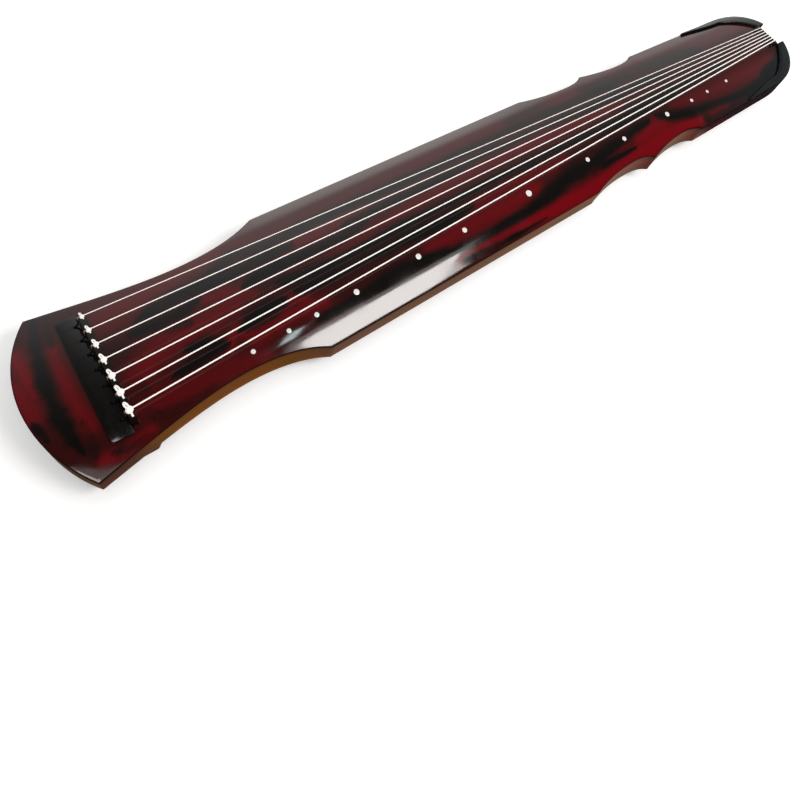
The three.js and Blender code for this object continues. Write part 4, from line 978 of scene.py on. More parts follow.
@once("node_groups", "placed_discs")
def placed_discs_tree(name):
    """A domed disc on each point, sized and tilted by the values that the point carries."""
    tree, given, out = shape_tree(name, [
        ("Thickness", "Float", 0.0014), ("Sides", "Int", 40), ("Material", "Material", None),
    ])
    low = add(tree, "ShaderNodeCombineXYZ", Z=maths(tree, "MULTIPLY", given["Thickness"], -1.0))
    rail = add(tree, "GeometryNodeCurvePrimitiveLine", Start=low.outputs[0], End=(0, 0, 0))
    rings = add(
        tree, "GeometryNodeResampleCurve", {"mode": "COUNT"},
        Curve=rail.outputs["Curve"], Count=DISC_RINGS)
    factor = add(tree, "GeometryNodeSplineParameter").outputs["Factor"]
    fall = maths(tree, "POWER", factor, DISC_SQUARENESS)
    dome = maths(tree, "SQRT", maths(tree, "SUBTRACT", 1.0, fall))
    disc = tube(tree, rings.outputs["Curve"], circle(tree, given["Sides"]), dome)
    size = stored(tree, "size")
    turn = add(tree, "ShaderNodeCombineXYZ", X=stored(tree, "tilt"))
    scale = add(tree, "ShaderNodeCombineXYZ", X=size, Y=size, Z=1.0)
    copies = add(
        tree, "GeometryNodeInstanceOnPoints", Points=given["Geometry"], Instance=disc,
        Rotation=turn.outputs[0], Scale=scale.outputs[0])
    return leave(tree, out, Geometry=painted(tree, copies.outputs["Instances"], given["Material"]))


def curve_piece(name, lines):
    """A curve object of straight-stepped lines, each a list of points and their radii in mm."""
    data = bpy.data.curves.new(name, "CURVE")
    data.dimensions = "3D"
    for points, radii in lines:
        spline = data.splines.new("POLY")
        spline.points.add(len(points) - 1)
        flat = np.column_stack([in_frame(points), np.ones(len(points))]).ravel()
        spline.points.foreach_set("co", flat)
        spline.points.foreach_set("radius", np.broadcast_to(radii, len(points)) * MM)
    return linked(name, data)


# ---------------------------------------------------------------- the lacquered body


def stroke_offset(places, sides, stroke):
    """How far from a brush stroke's line each point is, in half widths of the stroke there."""
    least = np.full(len(places), FAR_FROM_STROKE)
    for (p0, s0, w0), (p1, s1, w1) in zip(stroke, stroke[1:]):
        run, rise = p1 - p0, s1 - s0
        share = ((places - p0) * run + (sides - s0) * rise) / (run * run + rise * rise)
        share = np.clip(share, 0, 1)
        off = np.hypot(places - p0 - share * run, sides - s0 - share * rise)
        least = np.minimum(least, off / mix(w0, w1, share))
    return least


def brushed_out(stroke):
    """A stroke with both ends drawn out to a soft tip."""
    tips = []
    for (p0, s0, w0), (p1, s1, _) in ((stroke[0], stroke[1]), (stroke[-1], stroke[-2])):
        reach = TIP_REACH * w0 / math.hypot(p0 - p1, s0 - s1)
        tips.append((p0 + (p0 - p1) * reach, s0 + (s0 - s1) * reach, TIP_WIDTH * w0))
    return [tips[0], *stroke, tips[1]]


def cloud_value(places, sides, strokes):
    """How black the strokes make each point: up to 1 on their lines, 0 on their rims, then -1."""
    best = np.full(len(places), -1.0)
    for most, stroke in strokes:
        off = stroke_offset(places, sides, brushed_out(stroke))
        best = np.maximum(best, np.minimum(1 - off, most))
    return best


def glow_value(places, sides, strokes):
    """How brightly the crimson shows through at each point, from 0 to 1."""
    best = np.zeros(len(places))
    for most, stroke in strokes:
        off = stroke_offset(places, sides, stroke)
        best = np.maximum(best, most * np.exp(-off ** 2 * GLOW_FALL))
    return best


def underside_strokes(seed, count):
    """Long strokes scattered along the underside and the sides."""
    chance = np.random.default_rng(seed)
    strokes = []
    for _ in range(count):
        place, side = chance.uniform(HEAD_PLACE, TAIL_PLACE), chance.uniform(-100, 100)
        run, lean, width = chance.uniform(30, 130), chance.uniform(-9, 9), chance.uniform(6, 16)
        strokes.append((1.0, [
            (place, side, width * 0.4),
            (place + run * 0.5, side + lean, width),
            (place + run, side + lean * 0.4, width * 0.5),
        ]))
    return strokes


def distance_to_plan(points, plan, batch=2000):
    """How far each point lies from the plan's line, seen from above."""
    runs = np.roll(plan, -1, 0) - plan
    squares = (runs * runs).sum(1)
    least = np.empty(len(points))
    for first in range(0, len(points), batch):
        some = points[first:first + batch, None, :]
        share = np.clip(((some - plan) * runs).sum(2) / squares, 0, 1)
        off = some - plan - share[..., None] * runs
        least[first:first + batch] = np.sqrt((off * off).sum(2)).min(1)
    return least


def body_rows(plan, arch_rows):
    """Rows of points from the middle of the underside, round the edge, to the spine."""
    under_rows, low_steps, high_steps = 9, 4, 8
    normals = inward_normals(plan)
    spine = np.column_stack([np.clip(plan[:, 0], HEAD_CORNER[0], TAIL_ROUND[0]), 0 * plan[:, 1]])
    low = plan + normals * LOW_ROUND
    shares = np.linspace(0, 1, under_rows)
    rows = [at_level(mix(spine, low, share), FOOT_LEVEL) for share in shares]
    for inset, rise in quarter_turn(low_steps)[::-1][1:]:
        flat = plan + normals * LOW_ROUND * inset
        rows.append(at_level(flat, FOOT_LEVEL + LOW_ROUND * (1 - rise)))
    low_level, high_level = FOOT_LEVEL + LOW_ROUND, top_level(*plan.T) - HIGH_ROUND
    rows += [at_level(plan, mix(low_level, high_level, share)) for share in (0.3, 0.7)]
    for inset, rise in quarter_turn(high_steps):
        flat = plan + normals * HIGH_ROUND * inset
        rows.append(at_level(flat, top_level(*flat.T) - HIGH_ROUND * (1 - rise)))
    high = rows[-1][:, :2]
    for share in np.linspace(0, 1, arch_rows + 1)[1:]:
        flat = mix(high, spine, share)
        rows.append(at_level(flat, top_level(*flat.T)))
    return rows


def slot_plan(centre, length, half_width, steps=24):
    turn = np.linspace(-math.pi / 2, math.pi / 2, steps)
    reach = length / 2 - half_width
    end = np.stack([reach + half_width * np.cos(turn), half_width * np.sin(turn)], 1)
    return np.concatenate([end, -end]) + (centre, 0)


def box_plan(start, end, half_width):
    return [(start, -half_width), (end, -half_width), (end, half_width), (start, half_width)]


def hollow_cutter(half):
    """The hollow of the body, with a raised hump left above each sound hole."""
    steps, ceiling_rows = 70, 7
    places = np.linspace(*HOLLOW, steps)
    inner = np.stack([places, np.interp(places, *half.T) - SIDE_WALL], 1)
    plan = whole_plan(np.concatenate([[(HOLLOW[0], 0)], inner, [(HOLLOW[1], 0)]]))
    rows = [at_level(plan * (1, share), SEAM_LEVEL) for share in (0, 1)]
    for share in np.linspace(0, 1, ceiling_rows):
        flat = plan * (1, 1 - share)
        rows.append(at_level(flat, top_level(*flat.T) - TOP_THICKNESS))
    humps = []
    for place, length, half_width in SOUND_HOLES:
        half_hump = half_width + HUMP_MARGIN
        ceiling = top_level(place, half_hump) - TOP_THICKNESS
        humps.append(piece_from_plan(
            "hump", slot_plan(place, length + 2 * HUMP_MARGIN, half_hump),
            ceiling - HUMP_HEIGHT, ceiling + TOP_THICKNESS))
    return carved(piece_from_rows("hollow_cutter", rows), humps)


def cord_cutter(low, high, steps=32):
    """Upright round rods in one piece, one where each silk cord passes."""
    points, faces = [], []
    for side in string_sides(BRIDGE_SPREAD):
        first, outline = len(points), ring(CORD_HOLE_RADIUS, CORD_PLACE, side, steps)
        points += [*at_level(outline, low), *at_level(outline, high)]
        ends = (range(steps), range(steps, 2 * steps))
        faces += [tuple(first + i for i in face) for face in (*row_faces(2, steps), *ends)]
    return piece_from_points("cord_cutter", points, faces)


def nut_crest():
    return float(top_level(STRING_LENGTH, 0)) + NUT_RISE


def nut_floor():
    return float(top_level(NUT_START, NUT_HALF_WIDTH)) - NUT_DEPTH


def tail_cutters():
    start, end, top = NUT_START - GAP, NUT_END + OVERSHOOT, nut_crest() + OVERSHOOT
    floor = nut_floor() - GAP
    fall = NUT_DEPTH * (1 + OVERSHOOT / (NUT_END - NUT_START))
    half_width = NUT_HALF_WIDTH + GAP
    lower = box_plan(NUT_END - LOWER_NUT_LENGTH - GAP, end, half_width)
    gate = box_plan(NUT_END, TAIL_PLACE + OVERSHOOT, GATE_HALF_WIDTH)
    seat = [(start, floor), (end, floor - fall), (end, top), (start, top)]
    return [
        piece_from_plan("gate_cutter", gate, BELOW_BODY, ABOVE_BODY),
        piece_across("nut_cutter", seat, half_width),
        piece_from_plan("lower_nut_cutter", lower, BELOW_BODY, LOWER_NUT_CEILING + GAP),
    ]


def build_body(settings):
    half = half_plan(settings.spacing / MM)
    plan = whole_plan(half)
    shell = piece_from_rows("lacquered_body", body_rows(plan, settings.arch_rows))
    reach, half_width = (size + GAP for size in PEG_POOL)
    pool = box_plan(CORD_PLACE - reach, CORD_PLACE + reach, half_width)
    body = carved(shell, [
        hollow_cutter(half),
        *[piece_from_plan("hole_cutter", slot_plan(*hole), BELOW_BODY, HOLE_CUT_TOP)
          for hole in SOUND_HOLES],
        piece_from_plan("pool_cutter", pool, BELOW_BODY, PEG_POOL_CEILING),
        cord_cutter(HOLE_CUT_TOP, ABOVE_BODY),
        *tail_cutters(),
    ])
    mesh = body.data
    places, sides, levels = points_of(mesh).T
    flat = np.stack([places, sides], 1)
    off = distance_to_plan(flat, plan)
    drop = top_level(places, sides) - levels

    # Clouds and glow: listed as seen from above, scattered below, and joined over the edge
    above = np.interp(levels, TOP_LOOKS, (0, 1))
    top = np.maximum(cloud_value(places, sides, CLOUD_STROKES), LEAST_CLOUD_TOP)
    scattered = underside_strokes(settings.seed, settings.stroke_count)
    under = np.maximum(cloud_value(places, sides, scattered), LEAST_CLOUD_UNDER)
    cloud = mix(under * UNDER_STRENGTH, top, above) + along(CLOUD_DEPTHS, places)
    glow = mix(UNDER_GLOW, glow_value(places, sides, GLOW_STROKES), above)
    inset, spread = RIM_LINE
    rim = np.exp(-((off - inset) / spread) ** 2) * np.clip(RIM_DROP - drop, 0, 1) * settings.rim
    for name, values in (("cloud", cloud), ("glow", glow), ("rim", rim)):
        set_point_value(mesh, name, values)

    # Bare wood inside the hollow
    lacquer = lacquer_material(settings)
    mesh.materials.clear()
    for material in (lacquer, bare_wood()):
        mesh.materials.append(material)
    slack = 0.5
    within = (off > INSIDE_FROM) & (drop > INSIDE_FROM) & (levels > SEAM_LEVEL - slack)
    within &= (places > HOLLOW[0] - slack) & (places < HOLLOW[1] + slack)
    for face in mesh.polygons:
        face.material_index = int(all(within[list(face.vertices)]))
    nodes = ["top_board", "bottom_board", "bottom_board_head"]
    finished(body, lacquer, nodes, sharp=32)


# ---------------------------------------------------------------- bridge and peg pool


def build_bridge(settings):
    ease = settings.ease / MM

    def on_top(side, *outline):
        """An outline across the body there, each point a place and its height over the top."""
        return [(place, side, float(top_level(place, side)) + rise) for place, rise in outline]

    rows = []
    for share in np.linspace(-1, 1, RIDGE_STATIONS):
        base, crest = share * RIDGE_HALF_LENGTH, share * (RIDGE_HALF_LENGTH - RIDGE_END_SLOPE)
        back, front, high = RIDGE_SLOPE - RIDGE_BACK, RIDGE_FRONT - RIDGE_SLOPE, ridge_top(crest)
        rows.append([
            *on_top(base, (-RIDGE_BACK, -SUNK)),
            (back, crest, high - RIDGE_CHAMFER), (back + RIDGE_CHAMFER, crest, high),
            (front - RIDGE_CHAMFER, crest, high), (front, crest, high - RIDGE_CHAMFER),
            *on_top(base, (RIDGE_FRONT, -SUNK)),
        ])
    ridge = eased(piece_from_rows("bridge_ridge_looks", rows, True), ease)
    finished(ridge, ebony(), ["bridge_ridge"])

    back, front = BRIDGE_PLATE
    straight = BRIDGE_PLATE_HALF - PLATE_CORNER
    round_end = straight + PLATE_CORNER * np.array(quarter_turn(8))[:, 1]
    middle = np.linspace(-straight, straight, PLATE_STATIONS)
    rows = []
    for side in np.unique(np.concatenate([middle, round_end, -round_end])):
        out = max(abs(side) - straight, 0)
        start = back + PLATE_CORNER - math.sqrt(max(PLATE_CORNER**2 - out * out, 0))
        rows.append(on_top(
            side, (start, -SUNK), (start, BRIDGE_PLATE_RISE), (front, BRIDGE_PLATE_RISE),
            (front, -SUNK)))
    plate = eased(piece_from_rows("bridge_plate_looks", rows, True), ease)
    finished(carved(plate, [cord_cutter(HOLE_CUT_TOP, ABOVE_BODY)]), ebony(), ["bridge_plate"])

    reach, half_width = PEG_POOL
    plate_top = PLATE_FLOOR + PLATE_THICKNESS
    plan = box_plan(CORD_PLACE - reach, CORD_PLACE + reach, half_width)
    pool = piece_from_plan("peg_pool_plate_looks", plan, PLATE_FLOOR, plate_top)
    pool = carved(eased(pool, 0.4), [cord_cutter(PLATE_FLOOR - OVERSHOOT, plate_top + OVERSHOOT)])
    finished(pool, ebony(), ["peg_pool_plate"])


# ---------------------------------------------------------------- tail


def upper_bend():
    """The line in place and level that the strings follow over the tail nut."""
    crest = nut_crest()
    return smoothed([
        (mix(STRING_LENGTH, NUT_END, run), crest - NUT_DROP * fall * fall)
        for run, fall in NUT_FRONT
    ], 5)


def lower_bend():
    """The same round the lower nut."""
    return smoothed([
        (NUT_END - LOWER_NUT_ROUND * run, LOWER_NUT_FLOOR + LOWER_NUT_ROUND * (1 - fall))
        for run, fall in LOWER_NUT_FRONT
    ], 5)


def build_nuts(settings):
    floor, start = nut_floor(), NUT_END - LOWER_NUT_LENGTH
    upper = [
        (NUT_START, floor), (NUT_END, floor - NUT_DEPTH), *upper_bend()[::-1],
        (NUT_START, floor + NUT_DEPTH + NUT_RISE / 3),
    ]
    lower = [
        (start, LOWER_NUT_CEILING), (start, LOWER_NUT_FLOOR), *lower_bend()[::-1],
        (NUT_END, LOWER_NUT_CEILING),
    ]
    for name, profile in (("tail_nut", upper), ("lower_nut", lower)):
        nut = eased(piece_across(name + "_looks", profile, NUT_HALF_WIDTH), settings.ease / MM)
        finished(nut, ebony(), [name])


def crown_rows(half, stations):
    """Sections of a crown corner from its tip round the tail to the nut."""

    def width_at(place):
        return float(np.interp(place, *half.T))

    whole = whole_plan(half)
    outer = (whole - inward_normals(whole) * CROWN_PROUD)[::-1]
    outer = outer[(outer[:, 0] >= CROWN_START) & (outer[:, 1] >= GATE_HALF_WIDTH)]
    outer = np.concatenate([outer, [(outer[-1, 0], GATE_HALF_WIDTH)]])
    last = (TAIL_PLACE - CROWN_END_WIDTH, GATE_HALF_WIDTH)
    bend_place = mix(CROWN_START, last[0], CROWN_BEND)
    tip = (CROWN_START, width_at(CROWN_START) - CROWN_TIP_WIDTH)
    bend = (bend_place, width_at(bend_place) - CROWN_SIDE_WIDTH)
    inner = np.concatenate([
        swing(tip, bend, ((0.3, 0.3), (0.62, 0.9)), 40),
        swing(bend, last, ((0.35, 0.15), (0.78, 0.55)), 40)[1:],
    ])
    shares = np.linspace(0, 1, stations)
    rows = []
    for out, into in zip(at_shares(outer, shares), at_shares(inner, shares)):
        width = np.linalg.norm(into - out)
        turn_in, lip = (min(most, part * width) for most, part in CROWN_ROUNDS)
        section = [
            (0, CROWN_RISE + CROWN_DEPTH),
            *[(turn_in * a, turn_in * (1 - b)) for a, b in quarter_turn(7)],
            *[(mix(turn_in, width - lip, share), 0) for share in (0.33, 0.66)],
            *[(width - lip * a, lip * (1 - b)) for a, b in quarter_turn(5)[::-1]],
            (width, CROWN_RISE + CROWN_SUNK), (width * CROWN_KEEL, CROWN_RISE + CROWN_DEPTH),
        ]
        insets, drops = np.array(section).T
        flat = out + (into - out) / width * insets[:, None]
        rows.append(at_level(flat, top_level(*flat.T) + CROWN_RISE - drops))
    tips = [np.tile(row.mean(0), (len(row), 1)) for row in (rows[0], rows[-1])]
    return np.array([tips[0], *rows, tips[1]])


def build_crowns(settings):
    rows = crown_rows(half_plan(settings.spacing / MM), settings.stations)
    for side, name in ((1, "crown_corner_far"), (-1, "crown_corner_near")):
        crown = piece_from_rows(name + "_looks", rows * (1, side, 1))
        finished(crown, crown_lacquer(), [name], sharp=50)


# ---------------------------------------------------------------- pegs, feet and guards


def peg_profile():
    """Radius and level of a turned peg, from its tip up to the head and down into its bore."""
    head, tip = SEAM_LEVEL, 2.2
    bead = [(5.6 - 1.0 * (1 - b), head - 3.4 + 1.0 * a) for a, b in quarter_turn(4)]
    swell = []
    for share in np.linspace(0.96, 0.06, 22):
        bulge = math.sin(math.pi * min((1 - share) / 0.84, 1) / 2)
        closing = ((0.16 - share) / 0.16) ** 2
        radius = mix(4.6, 6.3, bulge) if share > 0.16 else mix(6.3, 4.4, closing)
        swell.append((radius, mix(head - 7, tip, share)))
    return [
        (0.01, tip), (3.2, tip), (3.9, tip + 0.3), (4.3, tip + 0.8), *swell,
        (4.1, head - 7), (4.1, head - 3.9), (4.6, head - 3.4), *bead,
        (5.6, head - 0.5), (5.45, head - 0.12), (5.2, head), (2.6, head), (2.3, head - 0.4),
        (2.3, head - 14), (0.01, head - 14),
    ]


def build_pegs(settings):
    plain = np.array(turned(peg_profile(), 0, 0, settings.sides))
    turn, levels = np.arctan2(plain[..., 1], plain[..., 0]), plain[..., 2]
    hollow = 1 - np.abs(np.sin(turn * settings.flutes / 2)) ** FLUTE_SHARPNESS
    on_body = np.interp(levels, FLUTED_LEVELS, (0, 1, 1, 0))
    plain[..., :2] *= (1 - settings.flute_depth * on_body * hollow)[..., None]
    for index, side in enumerate(string_sides(BRIDGE_SPREAD)):
        peg = piece_from_rows(f"peg_{index + 1}_looks", plain + (CORD_PLACE, side, 0))
        name = f"tuning_peg_{index + 1}"
        finished(peg, peg_wood(), [name], sharp=50, body=name)


def build_feet(settings):
    top = FOOT_LEVEL - GAP
    profile = [
        (0.01, 0), (9.8, 0), (10.6, 0.25), (11.2, 0.8), (11.4, 1.4), (11.3, 2.0), (10.8, 2.5),
        (9.8, 3.0), (9.2, 3.6), (FOOT_WAIST, 4.6), (FOOT_WAIST, top - 2.6), (9.3, top - 2.0),
        (10.2, top - FOOT_RIM), (10.6, top - 1.1), (10.6, top - 0.4), (10.2, top), (0.01, top),
    ]
    for name, side in (("goose_foot_near", -FOOT_SIDE), ("goose_foot_far", FOOT_SIDE)):
        rows = turned(profile, FOOT_PLACE, side, settings.sides)
        finished(piece_from_rows(name + "_looks", rows), ebony(), [name], sharp=50)

    def swept_end(at, way):
        """A guard's end as seen from the side, curving in towards its foot."""
        corners = ((at, top - 7), (at - way * 3.5, top / 3), (at - way * 7, 0))
        a, b, c = (np.array(corner) for corner in corners)
        return [mix(mix(a, b, share), mix(b, c, share), share) for share in np.linspace(0, 1, 10)]

    start, end = CORD_PLACE - GUARD_REACH, CORD_PLACE + GUARD_REACH
    profile = [(end, top), *swept_end(end, 1), *swept_end(start, -1)[::-1], (start, top)]
    for name, side in (("peg_guard_near", -GUARD_SIDE), ("peg_guard_far", GUARD_SIDE)):
        guard = piece_across(name + "_looks", profile, GUARD_HALF_WIDTH)
        guard.data.transform(Matrix.Translation((0, side * MM, 0)))
        finished(eased(guard, 0.9, 4), ebony(), [name], sharp=50)


# ---------------------------------------------------------------- markers


def build_markers(settings):
    points, sizes, tilts = [], [], []
    for share, radius in MARKERS:
        place, side = STRING_LENGTH * share, -mix(*MARKER_SIDES, share)
        points.append((place, side, float(top_level(place, side)) + settings.proud / MM))
        sizes.append(radius * settings.size * MM)
        fall = -2 * along(ARCH_HEIGHTS, place) * side / along(FULL_WIDTHS, place) ** 2
        tilts.append(math.atan(fall))
    seeds = piece_from_points("shell_markers", points, [])
    set_point_value(seeds.data, "size", sizes)
    set_point_value(seeds.data, "tilt", tilts)
    made = run_tree(
        seeds, placed_discs_tree(), Thickness=MARKER_THICKNESS * MM, Sides=settings.sides,
        Material=pearly_shell())
    nodes = [f"marker_{i + 1}" for i in range(len(MARKERS))]
    finished(made, pearly_shell(), nodes, sharp=50)


# ---------------------------------------------------------------- strings and silk cords


def eased_rise(share):
    t = min(max((share - 0.25) / 0.5, 0), 1)
    return t * t * (3 - 2 * t)


def knot_points(side, thick):
    """Fly-head knot: a long narrow bow leaning to the head, a small one beside it, and a tail."""
    size = thick / FULL_KNOT
    line = []

    def at(back, out, height):
        level = ridge_top(side + out) + thick + CLEARANCE + height
        line.append((KNOT_PLACE - back, side + out, level))

    at(-1.6, 0, 0)
    for i in range(33):
        turn = i / 32 * 2 * math.pi
        out = 3.7 * size * (1 - math.cos(turn))
        rise = (1 + 2.4 * eased_rise(i / 32)) * size
        at(0.28 * out + 1.35 * size * math.sin(turn), out, rise)
    for i in range(1, 25):
        turn = i / 24 * 2 * math.pi
        at(1.6 * size * math.sin(turn), -1.9 * size * (1 - math.cos(turn)), 3.4 * size)
    for share in (0.25, 0.5, 0.75, 1.0):
        at(-0.3 * share, -8.2 * size * share, mix(3.4, 0.4, share * share) * size)
    return line


def knot_wraps(side, thick, turns):
    """A full round coil over the middle of the knot, where the bows cross."""
    reach, half, flatness = 2.8 * thick, 2.6 * thick, 0.62
    middle = ridge_top(side) + flatness * reach + thick + CLEARANCE
    line = []
    steps = int(24 * turns)
    for i in range(steps + 1):
        turn = i / steps * turns * 2 * math.pi
        share = mix(-1, 1, i / steps)
        across = reach * (1 - 0.7 * abs(share) ** 2.6)
        line.append((
            KNOT_PLACE + across * math.sin(turn) + 0.3 * thick * share,
            side + WRAP_SHIFT + half * share,
            middle + flatness * across * math.cos(turn),
        ))
    return line


def winding_level(index):
    """The level at which a string comes to its foot."""
    first = 0 if index < NEAR_FOOT_COUNT else NEAR_FOOT_COUNT
    level = FOOT_LEVEL - GAP - FOOT_RIM - WINDING_GAP - STRING_RADII[first]
    for radius, following in zip(STRING_RADII[first:index], STRING_RADII[first + 1:]):
        pitch = 2 * radius + WINDING_GAP
        level -= WINDING_TURNS * pitch + radius + following + WINDING_GAP
    return level


def winding_points(index, start_at):
    """Round the foot, each string below the one before it."""
    radius = STRING_RADII[index]
    side, way = (-FOOT_SIDE, 1) if index < NEAR_FOOT_COUNT else (FOOT_SIDE, -1)
    reach = FOOT_WAIST + radius + CLEARANCE
    run, rise = start_at[0] - FOOT_PLACE, start_at[1] - side
    start = math.atan2(rise, run) + way * math.acos(reach / math.hypot(run, rise))
    line = []
    for turns in np.linspace(0, WINDING_TURNS, 61):
        angle = start + way * 2 * math.pi * turns
        level = winding_level(index) - (2 * radius + WINDING_GAP) * turns
        line.append((FOOT_PLACE + reach * math.cos(angle), side + reach * math.sin(angle), level))
    return line


def build_strings(settings):
    bend = np.concatenate([upper_bend(), lower_bend()])
    sides = zip(STRING_RADII, string_sides(BRIDGE_SPREAD), string_sides(NUT_SPREAD))
    for index, (radius, side, nut_side) in enumerate(sides):
        thick = radius * settings.knot_fullness
        knot = knot_points(side, thick)[::-1]
        start = (RIDGE_FRONT, side, ridge_top(side) + radius + CLEARANCE)
        over = [(p, nut_side, z) for p, z in moved_out(bend, radius + CLEARANCE)]
        plain = [start, *over, *winding_points(index, over[-1])]
        radii = [thick] * (len(knot) - 1) + [mix(thick, radius, 0.5)] + [radius] * len(plain)
        line = curve_piece(f"string_{index + 1}_looks", [
            ([*knot, *plain], np.array(radii)),
            (knot_wraps(side, thick, settings.wraps), thick),
        ])
        made = run_tree(line, wrapped_line_tree(), Sides=settings.sides, Material=string_white())
        finished(made, string_white(), [f"string_{index + 1}"], sharp=60)


def build_cords(settings):
    radius = settings.radius / MM
    reach = radius + CLEARANCE
    back = -RIDGE_BACK - reach
    # Up through the plate, over it to the ridge, up the back of that and on to the knot
    for index, side in enumerate(string_sides(BRIDGE_SPREAD)):
        low = float(top_level(CORD_PLACE, side)) + BRIDGE_PLATE_RISE + reach
        crest = ridge_top(side) + reach
        line = [
            (CORD_PLACE, side, SEAM_LEVEL - 10),
            (CORD_PLACE, side, PLATE_FLOOR),
            (CORD_PLACE, side, low - 5),
            (CORD_PLACE + 0.3, side, low),
            (mix(CORD_PLACE, back, 0.45), side, low + 1.2),
            (back, side, mix(low, crest, 0.3)),
            (back + 0.2, side, mix(low, crest, 0.62)),
            (back + 0.5, side, crest - 2 * reach),
            (back + 1.2, side, crest - reach * 0.8),
            (back + reach + 0.6, side, crest),
            (CORD_END, side, crest + 0.4),
        ]
        cord = curve_piece(f"silk_cord_{index + 1}_looks", [(smoothed(line, 6), radius)])
        made = run_tree(
            cord, laid_cord_tree(), Strands=settings.strands, Radius=settings.radius,
            Pitch=settings.pitch, Spacing=CORD_STEP * MM, Sides=CORD_SIDES, Material=silk())
        finished(made, silk(), [f"silk_cord_{index + 1}"], sharp=60)


# ---------------------------------------------------------------- stage


def floor_material(settings):
    """White paper, clear from below: it mirrors a little warm and keeps the shadow."""
    material, tree, shader, place = new_material("stage_floor")
    fibre = ranged(tree, noise(tree, place, 60.0, 2.0, 0.5), 0.3, 0.7, 0.0, 0.3)
    seen = blended(tree, fibre, (0.9, 0.9, 0.9), (0.88, 0.88, 0.88))
    path = add(tree, "ShaderNodeLightPath").outputs
    across = apart(tree, place)["X"]
    mirrored = settings.floor_mirrored
    for color, start, full in (
        (settings.neck_mirrored, -0.29, -0.34), (settings.head_mirrored, -0.49, -0.54),
        (settings.waist_mirrored, 0.16, 0.2), (settings.tail_mirrored, 0.39, 0.45),
    ):
        mirrored = blended(tree, ranged(tree, across, start, full), mirrored, color)
    distance = vector_maths(tree, "LENGTH", _0=place)["Value"]
    paper = ranged(tree, distance, 1.2, 2.6, settings.floor_lift, 1.0)
    for name, value in (
        ("Base Color", blended(tree, path["Is Glossy Ray"], seen, mirrored)),
        ("Roughness", 0.9), ("Specular IOR Level", 0.0), ("Emission Color", (1, 1, 1)),
        ("Emission Strength", maths(tree, "MULTIPLY", path["Is Camera Ray"], paper)),
    ):
        plug(tree, shader[name], value)
    below = add(
        tree, "ShaderNodeMixShader", _0=add(tree, "ShaderNodeNewGeometry").outputs["Backfacing"],
        _1=tree.nodes["Principled BSDF"].outputs["BSDF"],
        _2=add(tree, "ShaderNodeBsdfTransparent").outputs["BSDF"])
    tree.links.new(below.outputs["Shader"], tree.nodes["Material Output"].inputs["Surface"])
    return material


def build_world(settings):
    """A soft room: dim overhead, paler low down on the far side, and white to the camera."""
    world = bpy.data.worlds.new("studio")
    bpy.context.scene.world = world
    world.use_nodes = True
    tree = world.node_tree

    def times(a, b):
        return maths(tree, "MULTIPLY", a, b)

    def plus(a, b):
        return maths(tree, "ADD", a, b)

    way = add(tree, "ShaderNodeTexCoord").outputs["Generated"]
    x, y, z = apart(tree, way)
    lean = vector_maths(tree, "DOT_PRODUCT", _0=way, _1=settings.room_lean)["Value"]
    level = maths(tree, "POWER", math.e, plus(lean, settings.room_level))
    upper = times(
        maths(tree, "MINIMUM", level, settings.room_most), ranged(tree, x, 0.3, 0.7, 1.0, 0.72))

    # The pale band low on the far side, and the cool patch beyond the tail on the near side
    far = times(ranged(tree, y, -0.1, 0.4), ranged(tree, x, 0.08, 0.3))
    far = times(far, ranged(tree, x, 0.5, 0.68, 1.0, 0.3))
    height = maths(tree, "MULTIPLY_ADD", x, 0.33, z)
    low = times(ranged(tree, height, 0.515, 0.41, 0.0, settings.room_low), far)
    near = ranged(tree, y, 0.1, -0.1)
    cool = times(ranged(tree, x, 0.72, 0.86, 0.0, settings.room_tail), near)

    path = add(tree, "ShaderNodeLightPath").outputs
    glossy = path["Is Glossy Ray"]
    mirrored = times(plus(plus(upper, low), cool), glossy)
    soft = times(path["Is Diffuse Ray"], settings.room_fill)
    seen = maths(tree, "MAXIMUM", path["Is Camera Ray"], path["Is Transmission Ray"])
    color = (1, 1, 1)
    for share, over in (
        (ranged(tree, low, 0.0, 2.0), (1.0, 0.96, 0.91)),
        (ranged(tree, cool, 0.0, settings.room_tail), (0.8, 0.95, 1.0)),
    ):
        color = blended(tree, times(glossy, share), color, over)
    shader = tree.nodes["Background"].inputs
    tree.links.new(plus(plus(mirrored, soft), times(seen, ROOM_SEEN)), shader["Strength"])
    tree.links.new(color, shader["Color"])


def panel_light(name, place, degrees, size, power, color):
    data = bpy.data.lights.new(name, "AREA")
    data.shape = "RECTANGLE"
    data.size, data.size_y = size
    data.energy = power
    data.color = color
    light = linked(name, data)
    light.location = place
    light.rotation_euler = (0, 0, math.radians(degrees))
    return light


